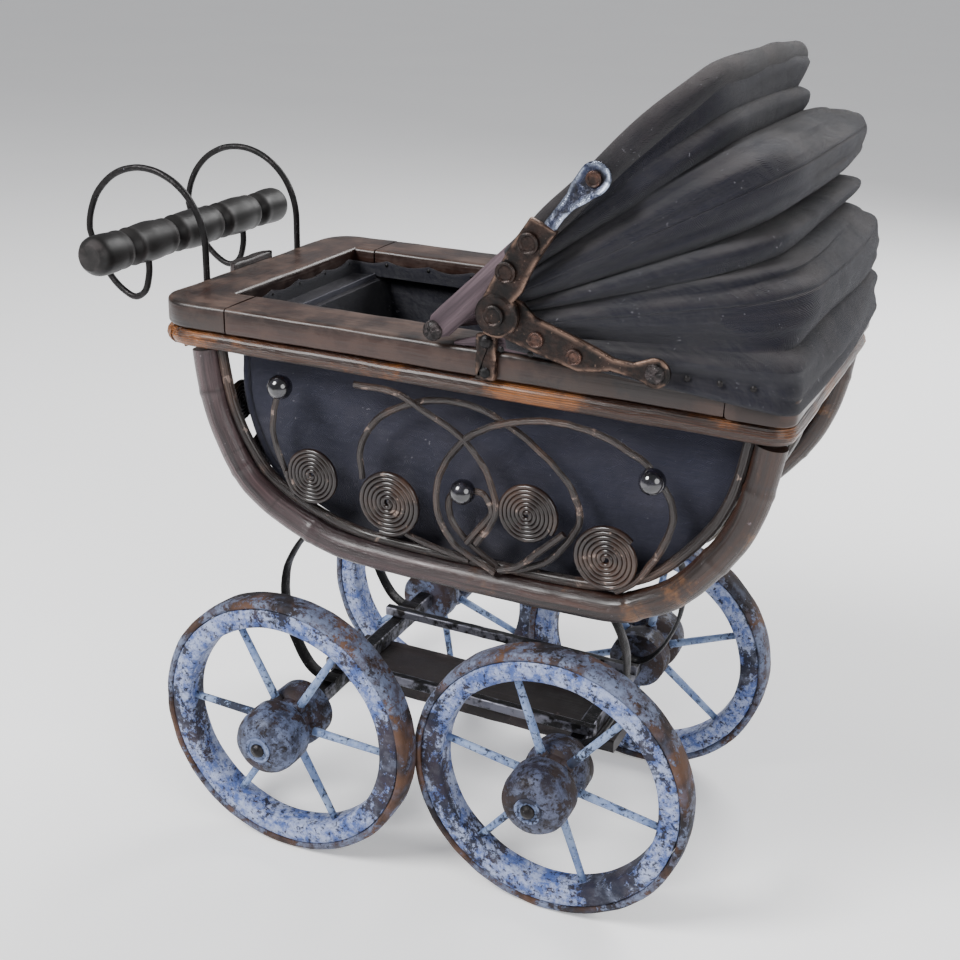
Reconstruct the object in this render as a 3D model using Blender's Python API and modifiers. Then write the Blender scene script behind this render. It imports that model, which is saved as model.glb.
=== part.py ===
"""A small doll's pram: an open wooden rim on bent rattan bows, a canvas tub and folding hood,
a turned push bar, and four spoked wooden wheels under iron C springs.

+X points to the hood end, -X to the push bar, -Y is the near side and +Z is up. The floor is z = 0.
"""

import math

import bmesh
import bpy
from mathutils import Matrix, Vector

# ---------------------------------------------------------------- driving dimensions, in metres
GAP = 0.0003                    # clearance between pieces that touch
EASED_EDGE = 0.0008             # rounding of the wooden boards' edges
FINE_EDGE = 0.0005              # rounding of the iron bars' edges
PIN_CLEARANCE = 0.0004          # radial clearance of a pin in its eye

# wheels
WHEEL_RADIUS = 0.050
WHEELBASE = 0.098
TRACKS = {"handle": 0.124, "hood": 0.104}   # between the middle planes of a pair of wheels
RIM_WIDTH = 0.0100
RIM_DEPTH = 0.0104              # from the tread to the rim's inner face
TREAD_ROUNDING = 0.0018
HUB_RADIUS = 0.0120
HUB_OUTER = 0.0200              # hub length outside the wheel's middle plane
HUB_INNER = 0.0130              # hub length inside it
HUB_WAIST = 0.0030              # how far the hub narrows where the spokes enter it
HUB_NOSE = 0.0044               # how far it narrows at its outer end
SPOKES = 6
SPOKE_RADIUS = 0.0014
SPOKE_SOCKET = 0.0060           # how deep a spoke sits in the hub
SPOKE_TURNS = {"near_handle": 58.5, "near_hood": 51.0, "far_handle": 20.0, "far_hood": 38.0}    # degrees

# axles and undercarriage
AXLE_RADIUS = 0.0020
AXLE_HEAD_RADIUS = 0.0036
AXLE_HEAD = 0.0016
BEAM = 0.0060                   # square section of the axle beams
PERCH_BAR = 0.0036              # square section of the two long bars
PERCH_BAR_Y = 0.0240
PERCH_BAR_OVERHANG = 0.0055     # past the axles
PLANK_THICKNESS = 0.0050
PLANK_HALF_WIDTH = 0.0150
PLANK_OVERHANG = 0.0100
SPRING_Y = 0.0330
SPRING_STRAP = 0.0016
SPRING_WIDTH = 0.0060
SPRING_BULGE = 0.0165           # how far a spring bows out past its axle

# body rim
RIM_HEIGHT = 0.2004             # top face of the rim boards
BOARD = 0.0086                  # board thickness
BOARD_WIDTH = 0.0200
RIM_HANDLE_X = -0.0985          # outer face at the push-bar end
RIM_HOOD_X = 0.1180             # outer face at the hood end
RIM_HALF_WIDTH = 0.0610
HANDLE_CORNER = 0.0130          # corner radius of the rim at the push-bar end
HOOD_CORNER = 0.0045
CORNER_ARM = 0.0285             # how far the corner board runs back to the butt joints
CANE_RADIUS = 0.0033            # the cane band under the boards
CANE_INSET = 0.0033             # from the boards' outer faces to the band's centre line

# rattan body frame
POLE_RADIUS = 0.0050
BODY_BOTTOM = 0.1155            # underside of the side bows
BOW_INSET_HANDLE = 0.0160       # from the rim's end faces to the pole's centre line
BOW_INSET_HOOD = 0.0070
BOW_INSET_SIDE = 0.0070
POLE_TILT = 0.0009              # room under the cane for the slanted ends of the poles
STRIP_RADIUS = 0.0016
RIB_RADIUS = 0.0026
HOOD_RIB_Y = 0.0160
HANDLE_RIB_Y = 0.0290
SMALL_COIL_DROPS = (0.022, 0.039)           # below the frame's top
SMALL_COIL_RADIUS = 0.0085
SCROLL_WIRE = 0.0014
COIL_THICKNESS = 0.0030
BEAD_RADIUS = 0.0042
FLOOR_RAIL_WIDTH = 0.0090
FLOOR_THICKNESS = 0.0030
FLOOR_RAIL_RISE = 0.0020        # from the underside of the side bows to that of the rails

# tub
TUB_HALF_WIDTH = 0.0460
TUB_INSET = 0.0142              # from the pole's centre line to the lining, at the ends
TUB_WALL = 0.0012

# hood
HOOD_PIVOT_X = 0.0077
HOOD_PIVOT_Z = 0.2052
BOW_REACHES = {"rail": 0.1030, "rear": 0.1060, "middle": 0.1100, "front": 0.1045}   # pivot to crown
BOW_ANGLES = {"rail": 3.2, "rear": 12.5, "middle": 29.0, "front": 45.0}             # above the rim
BOW_RADII = {"rear": 0.0023, "middle": 0.0023, "front": 0.0036}
BOW_LEG_INSET = {"rear": 0.0120, "middle": 0.0065, "front": -0.0003}   # inside the boards' outer faces
BOW_CORNER = 0.0220
CROWN_RISE = 0.0015
EYE_RADIUS = 0.0044
EYE_HALF = 0.0023
PIVOT_PIN = 0.0015
PIVOT_HEAD = 0.0033
PIVOT_HEAD_RISE = 0.0016
PIVOT_NUT = (0.0040, 0.0035)    # radius and length of the nut inside the legs
CANVAS = 0.0012
CANVAS_CLEAR = 0.0006           # between a bow and the canvas over it
CANVAS_SAG = 0.0060
CANVAS_START = 0.0220           # from the pivot to the canvas's lower corner
RAIL_HEIGHT = 0.0060
RAIL_THICKNESS = 0.0040
RAIL_TIP = 0.0055               # where the rail starts, ahead of the pivot
RAIL_TAPER = 0.0160

# landau irons
LOWER_EYE_X = 0.0795
LOWER_EYE_Z = 0.2045
LOWER_IRON = 0.0490             # between the pins of the lower iron
UPPER_IRON = 0.0495             # between the pins of the upper iron
UPPER_EYE_REACH = 0.0727        # from the hood pivot to the upper eye
IRON_PIN = 0.0016
IRON_THICKNESS = 0.0020
IRON_OUT = 0.0082               # from the boards' outer faces to the middle of the lower iron
IRON_STEP = 0.0026              # from the lower iron's middle to the upper iron's
STRAP_X = 0.0215
STRAP_WIDTH = 0.0065
STRAP_THICKNESS = 0.0014
STRAP_RISE = 0.0060             # above the rim
RIVET_HEAD = (0.0034, 0.0012)   # radius and height of the elbow rivet's head
SCREW_HEAD = (0.0030, 0.0014)   # radius and height of the lower eye's screw head

# push bar
BAR_X = -0.1255
BAR_Z = 0.2100
BAR_LENGTH = 0.1174
BAR_RADIUS = 0.0074
BAR_RINGS = (0.0400, 0.0142)    # from the middle to the turned rings
BAR_RING_HALF = 0.0036          # half the length of a turned groove
BAR_GROOVE = 0.0014             # depth of a groove
BAR_WAIST = 0.0010              # how far the bar narrows between two rings
BAR_DOME = (0.0018, 0.0030)     # drop and length of the rounded ends
HOOP_X = -0.1235
HOOP_Z = 0.2115
HOOP_RADIUS = 0.0252
HOOP_WIRE = 0.0012
HOOP_Y = 0.0300

SIDES = {"near": -1.0, "far": 1.0}
ENDS = {"handle": -1.0, "hood": 1.0}

# ---------------------------------------------------------------- scene and materials
for old in list(bpy.data.objects):
    bpy.data.objects.remove(old, do_unlink=True)

parts = bpy.data.collections.new("dolls_pram")
cutters = bpy.data.collections.new("cutters")
bpy.context.scene.collection.children.link(parts)
bpy.context.scene.collection.children.link(cutters)


def finish(name, colour, roughness, metallic=0.0):
    material = bpy.data.materials.new(name)
    material.use_nodes = True
    shader = material.node_tree.nodes["Principled BSDF"]
    shader.inputs["Base Color"].default_value = (*colour, 1.0)
    shader.inputs["Roughness"].default_value = roughness
    shader.inputs["Metallic"].default_value = metallic
    return material


FINISHES = {
    "board": ((0.16, 0.11, 0.08), 0.60),
    "cane": ((0.42, 0.21, 0.09), 0.35),
    "rattan": ((0.13, 0.07, 0.05), 0.35),
    "scroll": ((0.10, 0.06, 0.04), 0.30),
    "canvas": ((0.05, 0.05, 0.06), 0.90),
    "lining": ((0.03, 0.04, 0.06), 0.90),
    "plank": ((0.14, 0.08, 0.06), 0.65),
    "iron": ((0.03, 0.025, 0.025), 0.45, 0.8),
    "landau_iron": ((0.08, 0.055, 0.045), 0.40, 0.8),
    "bow_wood": ((0.20, 0.15, 0.16), 0.55),
    "bar_wood": ((0.05, 0.05, 0.045), 0.40),
    "wheel_paint": ((0.25, 0.34, 0.55), 0.60),
    "spoke_paint": ((0.50, 0.60, 0.72), 0.55),
}


def dressed(obj, kind):
    """Give an object its own copy of a finish."""
    obj.data.materials.clear()
    obj.data.materials.append(finish(obj.name, *FINISHES[kind]))
    return obj


# ---------------------------------------------------------------- making solids
def from_bmesh(name, bm, kind, smooth_below=None):
    mesh = bpy.data.meshes.new(name)
    bmesh.ops.recalc_face_normals(bm, faces=bm.faces)
    bm.to_mesh(mesh)
    bm.free()
    if smooth_below is not None:
        mesh.shade_smooth()
        mesh.set_sharp_from_angle(angle=math.radians(smooth_below))
    obj = bpy.data.objects.new(name, mesh)
    parts.objects.link(obj)
    return dressed(obj, kind)


def block(name, low, high, kind, bevel=0.0):
    """A board or bar between two corners."""
    low, high = Vector(low), Vector(high)
    bm = bmesh.new()
    bmesh.ops.create_cube(bm, size=1.0)
    size = high - low
    bmesh.ops.scale(bm, vec=size, verts=bm.verts)
    bmesh.ops.translate(bm, vec=(low + high) / 2, verts=bm.verts)
    obj = from_bmesh(name, bm, kind)
    if bevel:
        edge = obj.modifiers.new("rounded_edges", "BEVEL")
        edge.width = bevel
        edge.segments = 1
    return obj


def as_mesh(curve_obj, name, kind):
    """Turn a curve object into a closed mesh object with its caps welded."""
    bpy.context.view_layer.update()
    graph = bpy.context.evaluated_depsgraph_get()
    mesh = bpy.data.meshes.new_from_object(curve_obj.evaluated_get(graph))
    bm = bmesh.new()
    bm.from_mesh(mesh)
    bmesh.ops.remove_doubles(bm, verts=bm.verts, dist=0.00001)
    bmesh.ops.recalc_face_normals(bm, faces=bm.faces)
    bm.to_mesh(mesh)
    bm.free()
    mesh.name = name
    place = curve_obj.matrix_world.copy()
    bpy.data.objects.remove(curve_obj, do_unlink=True)
    mesh.shade_smooth()
    mesh.set_sharp_from_angle(angle=math.radians(50))
    obj = bpy.data.objects.new(name, mesh)
    obj.matrix_world = place
    parts.objects.link(obj)
    return dressed(obj, kind)


def rod(name, points, radius, kind, closed=False, resolution=2):
    """A round bar or wire along a run of points."""
    data = bpy.data.curves.new(name, "CURVE")
    data.dimensions = "3D"
    data.bevel_depth = radius
    data.bevel_resolution = resolution
    data.use_fill_caps = not closed
    spline = data.splines.new("POLY")
    spline.points.add(len(points) - 1)
    for knot, point in zip(spline.points, points):
        knot.co = (*point, 1.0)
    spline.use_cyclic_u = closed
    curve_obj = bpy.data.objects.new(name, data)
    parts.objects.link(curve_obj)
    return as_mesh(curve_obj, name, kind)


def plate(name, outline, thickness, middle, kind, lying=False):
    """A flat piece cut to an outline: standing in the XZ plane at y = middle, or lying at z = middle."""
    data = bpy.data.curves.new(name, "CURVE")
    data.dimensions = "2D"
    data.fill_mode = "BOTH"
    data.extrude = thickness / 2
    spline = data.splines.new("POLY")
    spline.points.add(len(outline) - 1)
    for knot, (u, v) in zip(spline.points, outline):
        knot.co = (u, v, 0.0, 1.0)
    spline.use_cyclic_u = True
    curve_obj = bpy.data.objects.new(name, data)
    parts.objects.link(curve_obj)
    if lying:
        curve_obj.matrix_world = Matrix.Translation((0, 0, middle))
    else:
        curve_obj.matrix_world = Matrix.Translation((0, middle, 0)) @ Matrix.Rotation(math.pi / 2, 4, "X")
    obj = as_mesh(curve_obj, name, kind)
    obj.data.transform(obj.matrix_world)
    obj.matrix_world = Matrix.Identity(4)
    return obj


def turned(name, profile, centre, kind, steps=24):
    """A lathe-turned piece round the Y axis: profile is (radius, y) from its +Y end to its -Y end."""
    bm = bmesh.new()
    last = None
    for radius, y in profile:
        vert = bm.verts.new((radius, 0.0, y))
        if last is not None:
            bm.edges.new((last, vert))
        last = vert
    mesh = bpy.data.meshes.new(name)
    bm.to_mesh(mesh)
    bm.free()
    blank = bpy.data.objects.new(name, mesh)
    parts.objects.link(blank)
    lathe = blank.modifiers.new("turning", "SCREW")
    lathe.steps = steps
    lathe.render_steps = steps
    lathe.use_merge_vertices = True
    lathe.merge_threshold = 0.00001
    bpy.context.view_layer.update()
    graph = bpy.context.evaluated_depsgraph_get()
    done = bpy.data.meshes.new_from_object(blank.evaluated_get(graph))
    bpy.data.objects.remove(blank, do_unlink=True)
    bm = bmesh.new()
    bm.from_mesh(done)
    bmesh.ops.remove_doubles(bm, verts=bm.verts, dist=0.00001)
    bmesh.ops.rotate(bm, verts=bm.verts, matrix=Matrix.Rotation(-math.pi / 2, 3, "X"))
    bmesh.ops.translate(bm, vec=centre, verts=bm.verts)
    bpy.data.meshes.remove(done)
    return from_bmesh(name, bm, kind, smooth_below=35)


def peg(name, low, high, radius, kind, sides=16):
    """A plain round pin between two points, with an even number of sides."""
    return rod(name, [low, high], radius, kind, resolution=(sides - 4) // 2)


def as_cutter(obj):
    """Keep an object only as a cutting shape."""
    parts.objects.unlink(obj)
    cutters.objects.link(obj)
    obj.hide_render = True
    obj.display_type = "WIRE"
    return obj


def combine(target, tool, operation):
    """Join a shape to a piece, or cut it out of the piece."""
    step = target.modifiers.new(operation.lower(), "BOOLEAN")
    step.operation = operation
    step.object = as_cutter(tool)
    return target


def settle(obj):
    """Make the modifiers of a piece part of its mesh."""
    bpy.context.view_layer.update()
    graph = bpy.context.evaluated_depsgraph_get()
    mesh = bpy.data.meshes.new_from_object(obj.evaluated_get(graph))
    tools = [step.object for step in obj.modifiers if step.type == "BOOLEAN"]
    obj.modifiers.clear()
    obj.data = mesh
    for tool in tools:
        bpy.data.objects.remove(tool, do_unlink=True)
    bm = bmesh.new()
    bm.from_mesh(mesh)
    bmesh.ops.remove_doubles(bm, verts=bm.verts, dist=0.000002)
    bmesh.ops.dissolve_degenerate(bm, edges=bm.edges, dist=0.000002)
    bm.to_mesh(mesh)
    bm.free()
    return obj


def pivoted(obj, pivot):
    """Put a piece's origin on its joint's axis without moving the piece."""
    pivot = Vector(pivot)
    obj.data.transform(Matrix.Translation(-pivot) @ obj.matrix_world)
    obj.matrix_world = Matrix.Translation(pivot)
    return obj


# ---------------------------------------------------------------- outlines
def arc(centre, radius, start, stop, count):
    """Points (u, v) along an arc, angles in degrees."""
    out = []
    for i in range(count + 1):
        angle = math.radians(start + (stop - start) * i / count)
        out.append((centre[0] + radius * math.cos(angle), centre[1] + radius * math.sin(angle)))
    return out


def smooth_run(knots, per_span=4):
    """A soft curve through knots in the XZ plane (Catmull-Rom)."""
    out = []
    last = len(knots) - 1
    for i in range(last):
        before = Vector(knots[max(i - 1, 0)])
        here = Vector(knots[i])
        there = Vector(knots[i + 1])
        after = Vector(knots[min(i + 2, last)])
        for step in range(per_span):
            t = step / per_span
            point = 0.5 * (
                2 * here
                + (there - before) * t
                + (2 * before - 5 * here + 4 * there - after) * t * t
                + (3 * here - before - 3 * there + after) * t ** 3
            )
            out.append((point.x, point.y))
    out.append(tuple(knots[-1]))
    return out


# ---------------------------------------------------------------- places that several pieces share
RIM_UNDER = RIM_HEIGHT - BOARD
CANE_Z = RIM_UNDER - CANE_RADIUS - GAP
BODY_TOP = CANE_Z - CANE_RADIUS - GAP
BODY_MIDDLE = (RIM_HANDLE_X + RIM_HOOD_X) / 2
POLE_LOW = BODY_BOTTOM + POLE_RADIUS
POLE_HANDLE_X = RIM_HANDLE_X + BOW_INSET_HANDLE     # pole centre lines where they meet the rim
POLE_HOOD_X = RIM_HOOD_X - BOW_INSET_HOOD
SIDE_Y = RIM_HALF_WIDTH - BOW_INSET_SIDE            # middle plane of the side bows
SCROLL_Y = SIDE_Y + STRIP_RADIUS + SCROLL_WIRE + GAP
FLOOR_LOW = BODY_BOTTOM + 2 * POLE_RADIUS - FLOOR_RAIL_RISE + GAP
FLOOR_TOP = FLOOR_LOW + FLOOR_THICKNESS
IRON_Y = RIM_HALF_WIDTH + IRON_OUT
BOW_LEG_Y = {name: RIM_HALF_WIDTH - inset for name, inset in BOW_LEG_INSET.items()}
PANEL_HANDLE_X = POLE_HANDLE_X + POLE_RADIUS        # the opening inside the poles, filled by the scrollwork
PANEL_HOOD_X = POLE_HOOD_X - POLE_RADIUS
PANEL_LOW = POLE_LOW + POLE_RADIUS


def boat_run(inset=0.0, top=BODY_TOP, low=None):
    """The body's boat-shaped side line from rim to rim, a given distance inside the pole's centre line."""
    left = POLE_HANDLE_X + inset
    right = POLE_HOOD_X - inset
    low = POLE_LOW + inset if low is None else low
    deep = top - low
    shape = (
        (left, top),
        (left + 0.0030, top - 0.31 * deep),
        (left + 0.0090, top - 0.53 * deep),
        (left + 0.0165, top - 0.72 * deep),
        (left + 0.0300, top - 0.86 * deep),
        (left + 0.0450, low + 0.05 * deep),
        (left + 0.0640, low),
        (right - 0.0480, low),
        (right - 0.0365, low + 0.06 * deep),
        (right - 0.0250, low + 0.15 * deep),
        (right - 0.0150, low + 0.33 * deep),
        (right - 0.0075, top - 0.49 * deep),
        (right - 0.0025, top - 0.27 * deep),
        (right, top),
    )
    line = [(x, max(z, low)) for x, z in smooth_run(shape, 2)]
    level = low + 0.000001
    bends = [here for before, here, after in zip(line, line[1:], line[2:])
             if max(before[1], here[1], after[1]) > level]
    return [line[0]] + bends + [line[-1]]


def on_side(u, v):
    """A point inside the side bow: u runs from the handle-end pole to the hood-end one, v from low to top."""
    return (PANEL_HANDLE_X + u * (PANEL_HOOD_X - PANEL_HANDLE_X), PANEL_LOW + v * (BODY_TOP - PANEL_LOW))


# ---------------------------------------------------------------- body frame
def rim_boards():
    """Side boards, a bent corner board round the push-bar end and a board across the hood end."""
    arm_x = RIM_HANDLE_X + CORNER_ARM
    inner_y = RIM_HALF_WIDTH - BOARD_WIDTH
    inner_x = RIM_HANDLE_X + BOARD_WIDTH
    for side, sign in SIDES.items():
        outer = sign * RIM_HALF_WIDTH
        inner = sign * inner_y
        block(
            f"rim_board_{side}",
            (arm_x + GAP, min(outer, inner), RIM_UNDER),
            (RIM_HOOD_X - BOARD_WIDTH - GAP, max(outer, inner), RIM_HEIGHT),
            "board", EASED_EDGE,
        )
    middle = (RIM_UNDER + RIM_HEIGHT) / 2
    turn = HANDLE_CORNER
    outline = (
        [(arm_x, RIM_HALF_WIDTH)]
        + arc((RIM_HANDLE_X + turn, RIM_HALF_WIDTH - turn), turn, 90, 180, 6)
        + arc((RIM_HANDLE_X + turn, -RIM_HALF_WIDTH + turn), turn, 180, 270, 6)
        + [(arm_x, -RIM_HALF_WIDTH), (arm_x, -inner_y)]
        + [(inner_x, -inner_y), (inner_x, inner_y), (arm_x, inner_y)]
    )
    plate("rim_board_handle_end", outline, BOARD, middle, "board", lying=True)
    turn = HOOD_CORNER
    back_x = RIM_HOOD_X - BOARD_WIDTH
    outline = (
        [(back_x, -RIM_HALF_WIDTH)]
        + arc((RIM_HOOD_X - turn, -RIM_HALF_WIDTH + turn), turn, -90, 0, 4)
        + arc((RIM_HOOD_X - turn, RIM_HALF_WIDTH - turn), turn, 0, 90, 4)
        + [(back_x, RIM_HALF_WIDTH)]
    )
    plate("rim_board_hood_end", outline, BOARD, middle, "board", lying=True)


def cane_band():
    """The round cane that runs under the outer edge of the boards."""
    low_x = RIM_HANDLE_X + CANE_INSET
    high_x = RIM_HOOD_X - CANE_INSET
    wide = RIM_HALF_WIDTH - CANE_INSET
    tight = max(HOOD_CORNER, 2 * CANE_RADIUS - CANE_INSET + GAP)
    broad = HANDLE_CORNER - CANE_INSET
    ring = (
        arc((high_x - tight, wide - tight), tight, 0, 90, 3)
        + arc((low_x + broad, wide - broad), broad, 90, 180, 5)
        + arc((low_x + broad, -wide + broad), broad, 180, 270, 5)
        + arc((high_x - tight, -wide + tight), tight, 270, 360, 3)
    )
    rod("cane_band", [(x, y, CANE_Z) for x, y in ring], CANE_RADIUS, "cane", closed=True)


def body_frame():
    """Bent rattan poles and strips of the two sides, with the rails and the board of the floor."""
    for side, sign in SIDES.items():
        pole = [(x, sign * SIDE_Y, z) for x, z in boat_run(0.0, BODY_TOP - POLE_TILT)]
        rod(f"side_bow_{side}", pole, POLE_RADIUS, "rattan")
        inset = POLE_RADIUS + STRIP_RADIUS + GAP
        strip = [(x, sign * SIDE_Y, z) for x, z in boat_run(inset)]
        rod(f"side_strip_{side}", strip, STRIP_RADIUS, "scroll", resolution=0)
    flat = [x for x, z in boat_run() if z < POLE_LOW + GAP]
    rail_half = SIDE_Y - POLE_RADIUS - GAP
    for end, sign in ENDS.items():
        outer = min(flat) if end == "handle" else max(flat)
        inner = outer - sign * FLOOR_RAIL_WIDTH
        block(
            f"floor_rail_{end}",
            (min(outer, inner), -rail_half, BODY_BOTTOM + FLOOR_RAIL_RISE),
            (max(outer, inner), rail_half, FLOOR_LOW - GAP),
            "plank", EASED_EDGE,
        )
    half = SIDE_Y - POLE_RADIUS - 2 * STRIP_RADIUS - 3 * GAP
    block("floor_board", (min(flat), -half, FLOOR_LOW), (max(flat), half, FLOOR_TOP), "plank", FINE_EDGE)


def end_ribs():
    """Bent strips down both ends, with the small coils of the push-bar end."""
    full = boat_run(POLE_RADIUS - RIB_RADIUS)
    for end, sign in ENDS.items():
        half = [(x, z) for x, z in full if (x - BODY_MIDDLE) * sign > 0 and z > FLOOR_TOP + RIB_RADIUS]
        if end == "hood":
            half.reverse()
        rib_y = HOOD_RIB_Y if end == "hood" else HANDLE_RIB_Y
        for side, hand in SIDES.items():
            y = hand * rib_y
            rib = rod(f"{end}_end_rib_{side}", [(x, y, z) for x, z in half], RIB_RADIUS, "scroll", resolution=1)
            if end == "handle":
                small_coils(rib, half, y)


def small_coils(rib, line, y):
    """Wind two flat coils onto a rib, facing the push bar."""
    thick = COIL_THICKNESS / 2
    for drop in SMALL_COIL_DROPS:
        z_middle = BODY_TOP - drop
        x_middle = min(line, key=lambda p: abs(p[1] - z_middle))[0]
        profile = [(0.0, thick), (SMALL_COIL_RADIUS, thick), (SMALL_COIL_RADIUS, -thick), (0.0, -thick)]
        coil = turned("coil", profile, (0, 0, 0), "scroll", 12)
        coil.data.transform(Matrix.Translation((x_middle, y, z_middle)) @ Matrix.Rotation(math.pi / 2, 4, "Z"))
        combine(rib, coil, "UNION")
        settle(rib)


# ---------------------------------------------------------------- scrollwork on the sides
COILS = ((0.207, 0.358, 0.0095), (0.363, 0.279, 0.0110), (0.624, 0.371, 0.0098), (0.771, 0.220, 0.0105))
BEADS = ((0.150, 0.855), (0.509, 0.448), (0.842, 0.710))
RING = (0.540, 0.398, 0.0212)       # the round loop behind the middle bead
RUNS = (
    (BEADS[0], (0.126, 0.652), (0.150, 0.465), COILS[0][:2]),
    (COILS[0][:2], (0.270, 0.313), COILS[1][:2]),
    (COILS[1][:2], (0.317, 0.566), (0.368, 0.770), (0.472, 0.812), (0.585, 0.617), (0.662, 0.381),
     (0.657, 0.127), (0.585, 0.012)),
    (COILS[3][:2], (0.716, 0.127), (0.657, 0.060), COILS[2][:2]),
    (BEADS[2], (0.798, 0.888), (0.706, 0.922), (0.602, 0.812)),
    (BEADS[2], (0.864, 0.516), (0.836, 0.279), COILS[3][:2]),
    ((0.428, 0.516), BEADS[1], (0.580, 0.381), COILS[2][:2]),
    (COILS[0][:2], (0.160, 0.203)),
)


def scrollwork():
    """Coils, beads and looped cane on each side, wired together and nailed inside the bow."""
    half = COIL_THICKNESS / 2
    for side, sign in SIDES.items():
        y = sign * SCROLL_Y
        ring_centre = on_side(*RING[:2])
        loop = [(x, y, z) for x, z in arc(ring_centre, RING[2], 0, 360, 16)[:-1]]
        body = rod(f"scrollwork_{side}", loop, SCROLL_WIRE, "scroll", closed=True, resolution=0)
        for run in RUNS:
            line = smooth_run([on_side(*point) for point in run], 2)
            piece = rod("run", [(x, y, z) for x, z in line], SCROLL_WIRE, "scroll", resolution=0)
            combine(body, piece, "UNION")
            settle(body)
        for u, v, radius in COILS:
            x, z = on_side(u, v)
            disc = turned("disc", [(0.0, half), (radius, half), (radius, -half), (0.0, -half)], (x, y, z),
                          "scroll", 14)
            combine(body, disc, "UNION")
            settle(body)
        for u, v in BEADS:
            x, z = on_side(u, v)
            ring = arc((0.0, 0.0), BEAD_RADIUS, 90, -90, 4)
            ring[0] = (0.0, BEAD_RADIUS)
            ring[-1] = (0.0, -BEAD_RADIUS)
            bead = turned("bead", ring, (x, y, z), "scroll", 8)
            combine(body, bead, "UNION")
            settle(body)


# ---------------------------------------------------------------- tub
def tub_lining():
    """The canvas tub: closed below, open at the rim, hung under the boards onto the floor board."""
    top = RIM_UNDER - GAP
    low = FLOOR_TOP + GAP
    outer = boat_run(TUB_INSET, top, low)
    solid = plate("tub_lining", outer, 2 * TUB_HALF_WIDTH, 0.0, "lining")
    inner = boat_run(TUB_INSET + TUB_WALL, top, low + TUB_WALL)
    inner = inner + [(inner[-1][0], top + 0.01), (inner[0][0], top + 0.01)]
    hollow = plate("hollow", inner, 2 * (TUB_HALF_WIDTH - TUB_WALL), 0.0, "lining")
    combine(solid, hollow, "DIFFERENCE")
    settle(solid)


# ---------------------------------------------------------------- wheels and running gear
def wheel_rim(name, centre):
    inner = WHEEL_RADIUS - RIM_DEPTH
    half = RIM_WIDTH / 2
    shoulder = WHEEL_RADIUS - TREAD_ROUNDING
    profile = [
        (inner, half), (shoulder, half), (WHEEL_RADIUS, half - TREAD_ROUNDING),
        (WHEEL_RADIUS, -half + TREAD_ROUNDING), (shoulder, -half), (inner, -half), (inner, half),
    ]
    rim = turned(name, profile, (0, 0, 0), "wheel_paint", 36)
    rim.data.transform(Matrix.Translation(centre))
    pivoted(rim, centre)


def wheel_hub(name, centre, hand, turn):
    """A turned hub, waisted where the spokes enter it, with the spokes glued in."""
    bore = AXLE_RADIUS + PIN_CLEARANCE
    profile = [
        (bore, HUB_INNER),
        (HUB_RADIUS - HUB_WAIST / 5, HUB_INNER),
        (HUB_RADIUS - HUB_WAIST / 8, 0.26 * HUB_INNER),
        (HUB_RADIUS - HUB_WAIST, 0.09 * HUB_INNER),
        (HUB_RADIUS - HUB_WAIST, -0.11 * HUB_OUTER),
        (HUB_RADIUS, -0.30 * HUB_OUTER),
        (HUB_RADIUS - HUB_NOSE / 11, -0.72 * HUB_OUTER),
        (HUB_RADIUS - HUB_NOSE, -HUB_OUTER),
        (bore, -HUB_OUTER),
        (bore, HUB_INNER),
    ]
    hub = turned(name, profile, (0, 0, 0), "plank", 16)
    for i in range(SPOKES):
        angle = 2 * math.pi * i / SPOKES + math.radians(turn)
        ray = Vector((math.cos(angle), 0.0, math.sin(angle)))
        foot = ray * (HUB_RADIUS - SPOKE_SOCKET)
        tip = ray * (WHEEL_RADIUS - RIM_DEPTH - GAP)
        combine(hub, rod("spoke", [foot, tip], SPOKE_RADIUS, "spoke_paint", resolution=1), "UNION")
    settle(hub)
    if hand > 0:
        hub.data.transform(Matrix.Rotation(math.pi, 4, "Z"))
    hub.data.transform(Matrix.Translation(centre))
    pivoted(hub, centre)


def wheels():
    for side, hand in SIDES.items():
        for end, sign in ENDS.items():
            centre = Vector((sign * WHEELBASE / 2, hand * TRACKS[end] / 2, WHEEL_RADIUS))
            wheel_rim(f"wheel_rim_{side}_{end}", centre)
            wheel_hub(f"wheel_hub_{side}_{end}", centre, hand, SPOKE_TURNS[f"{side}_{end}"])


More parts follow.
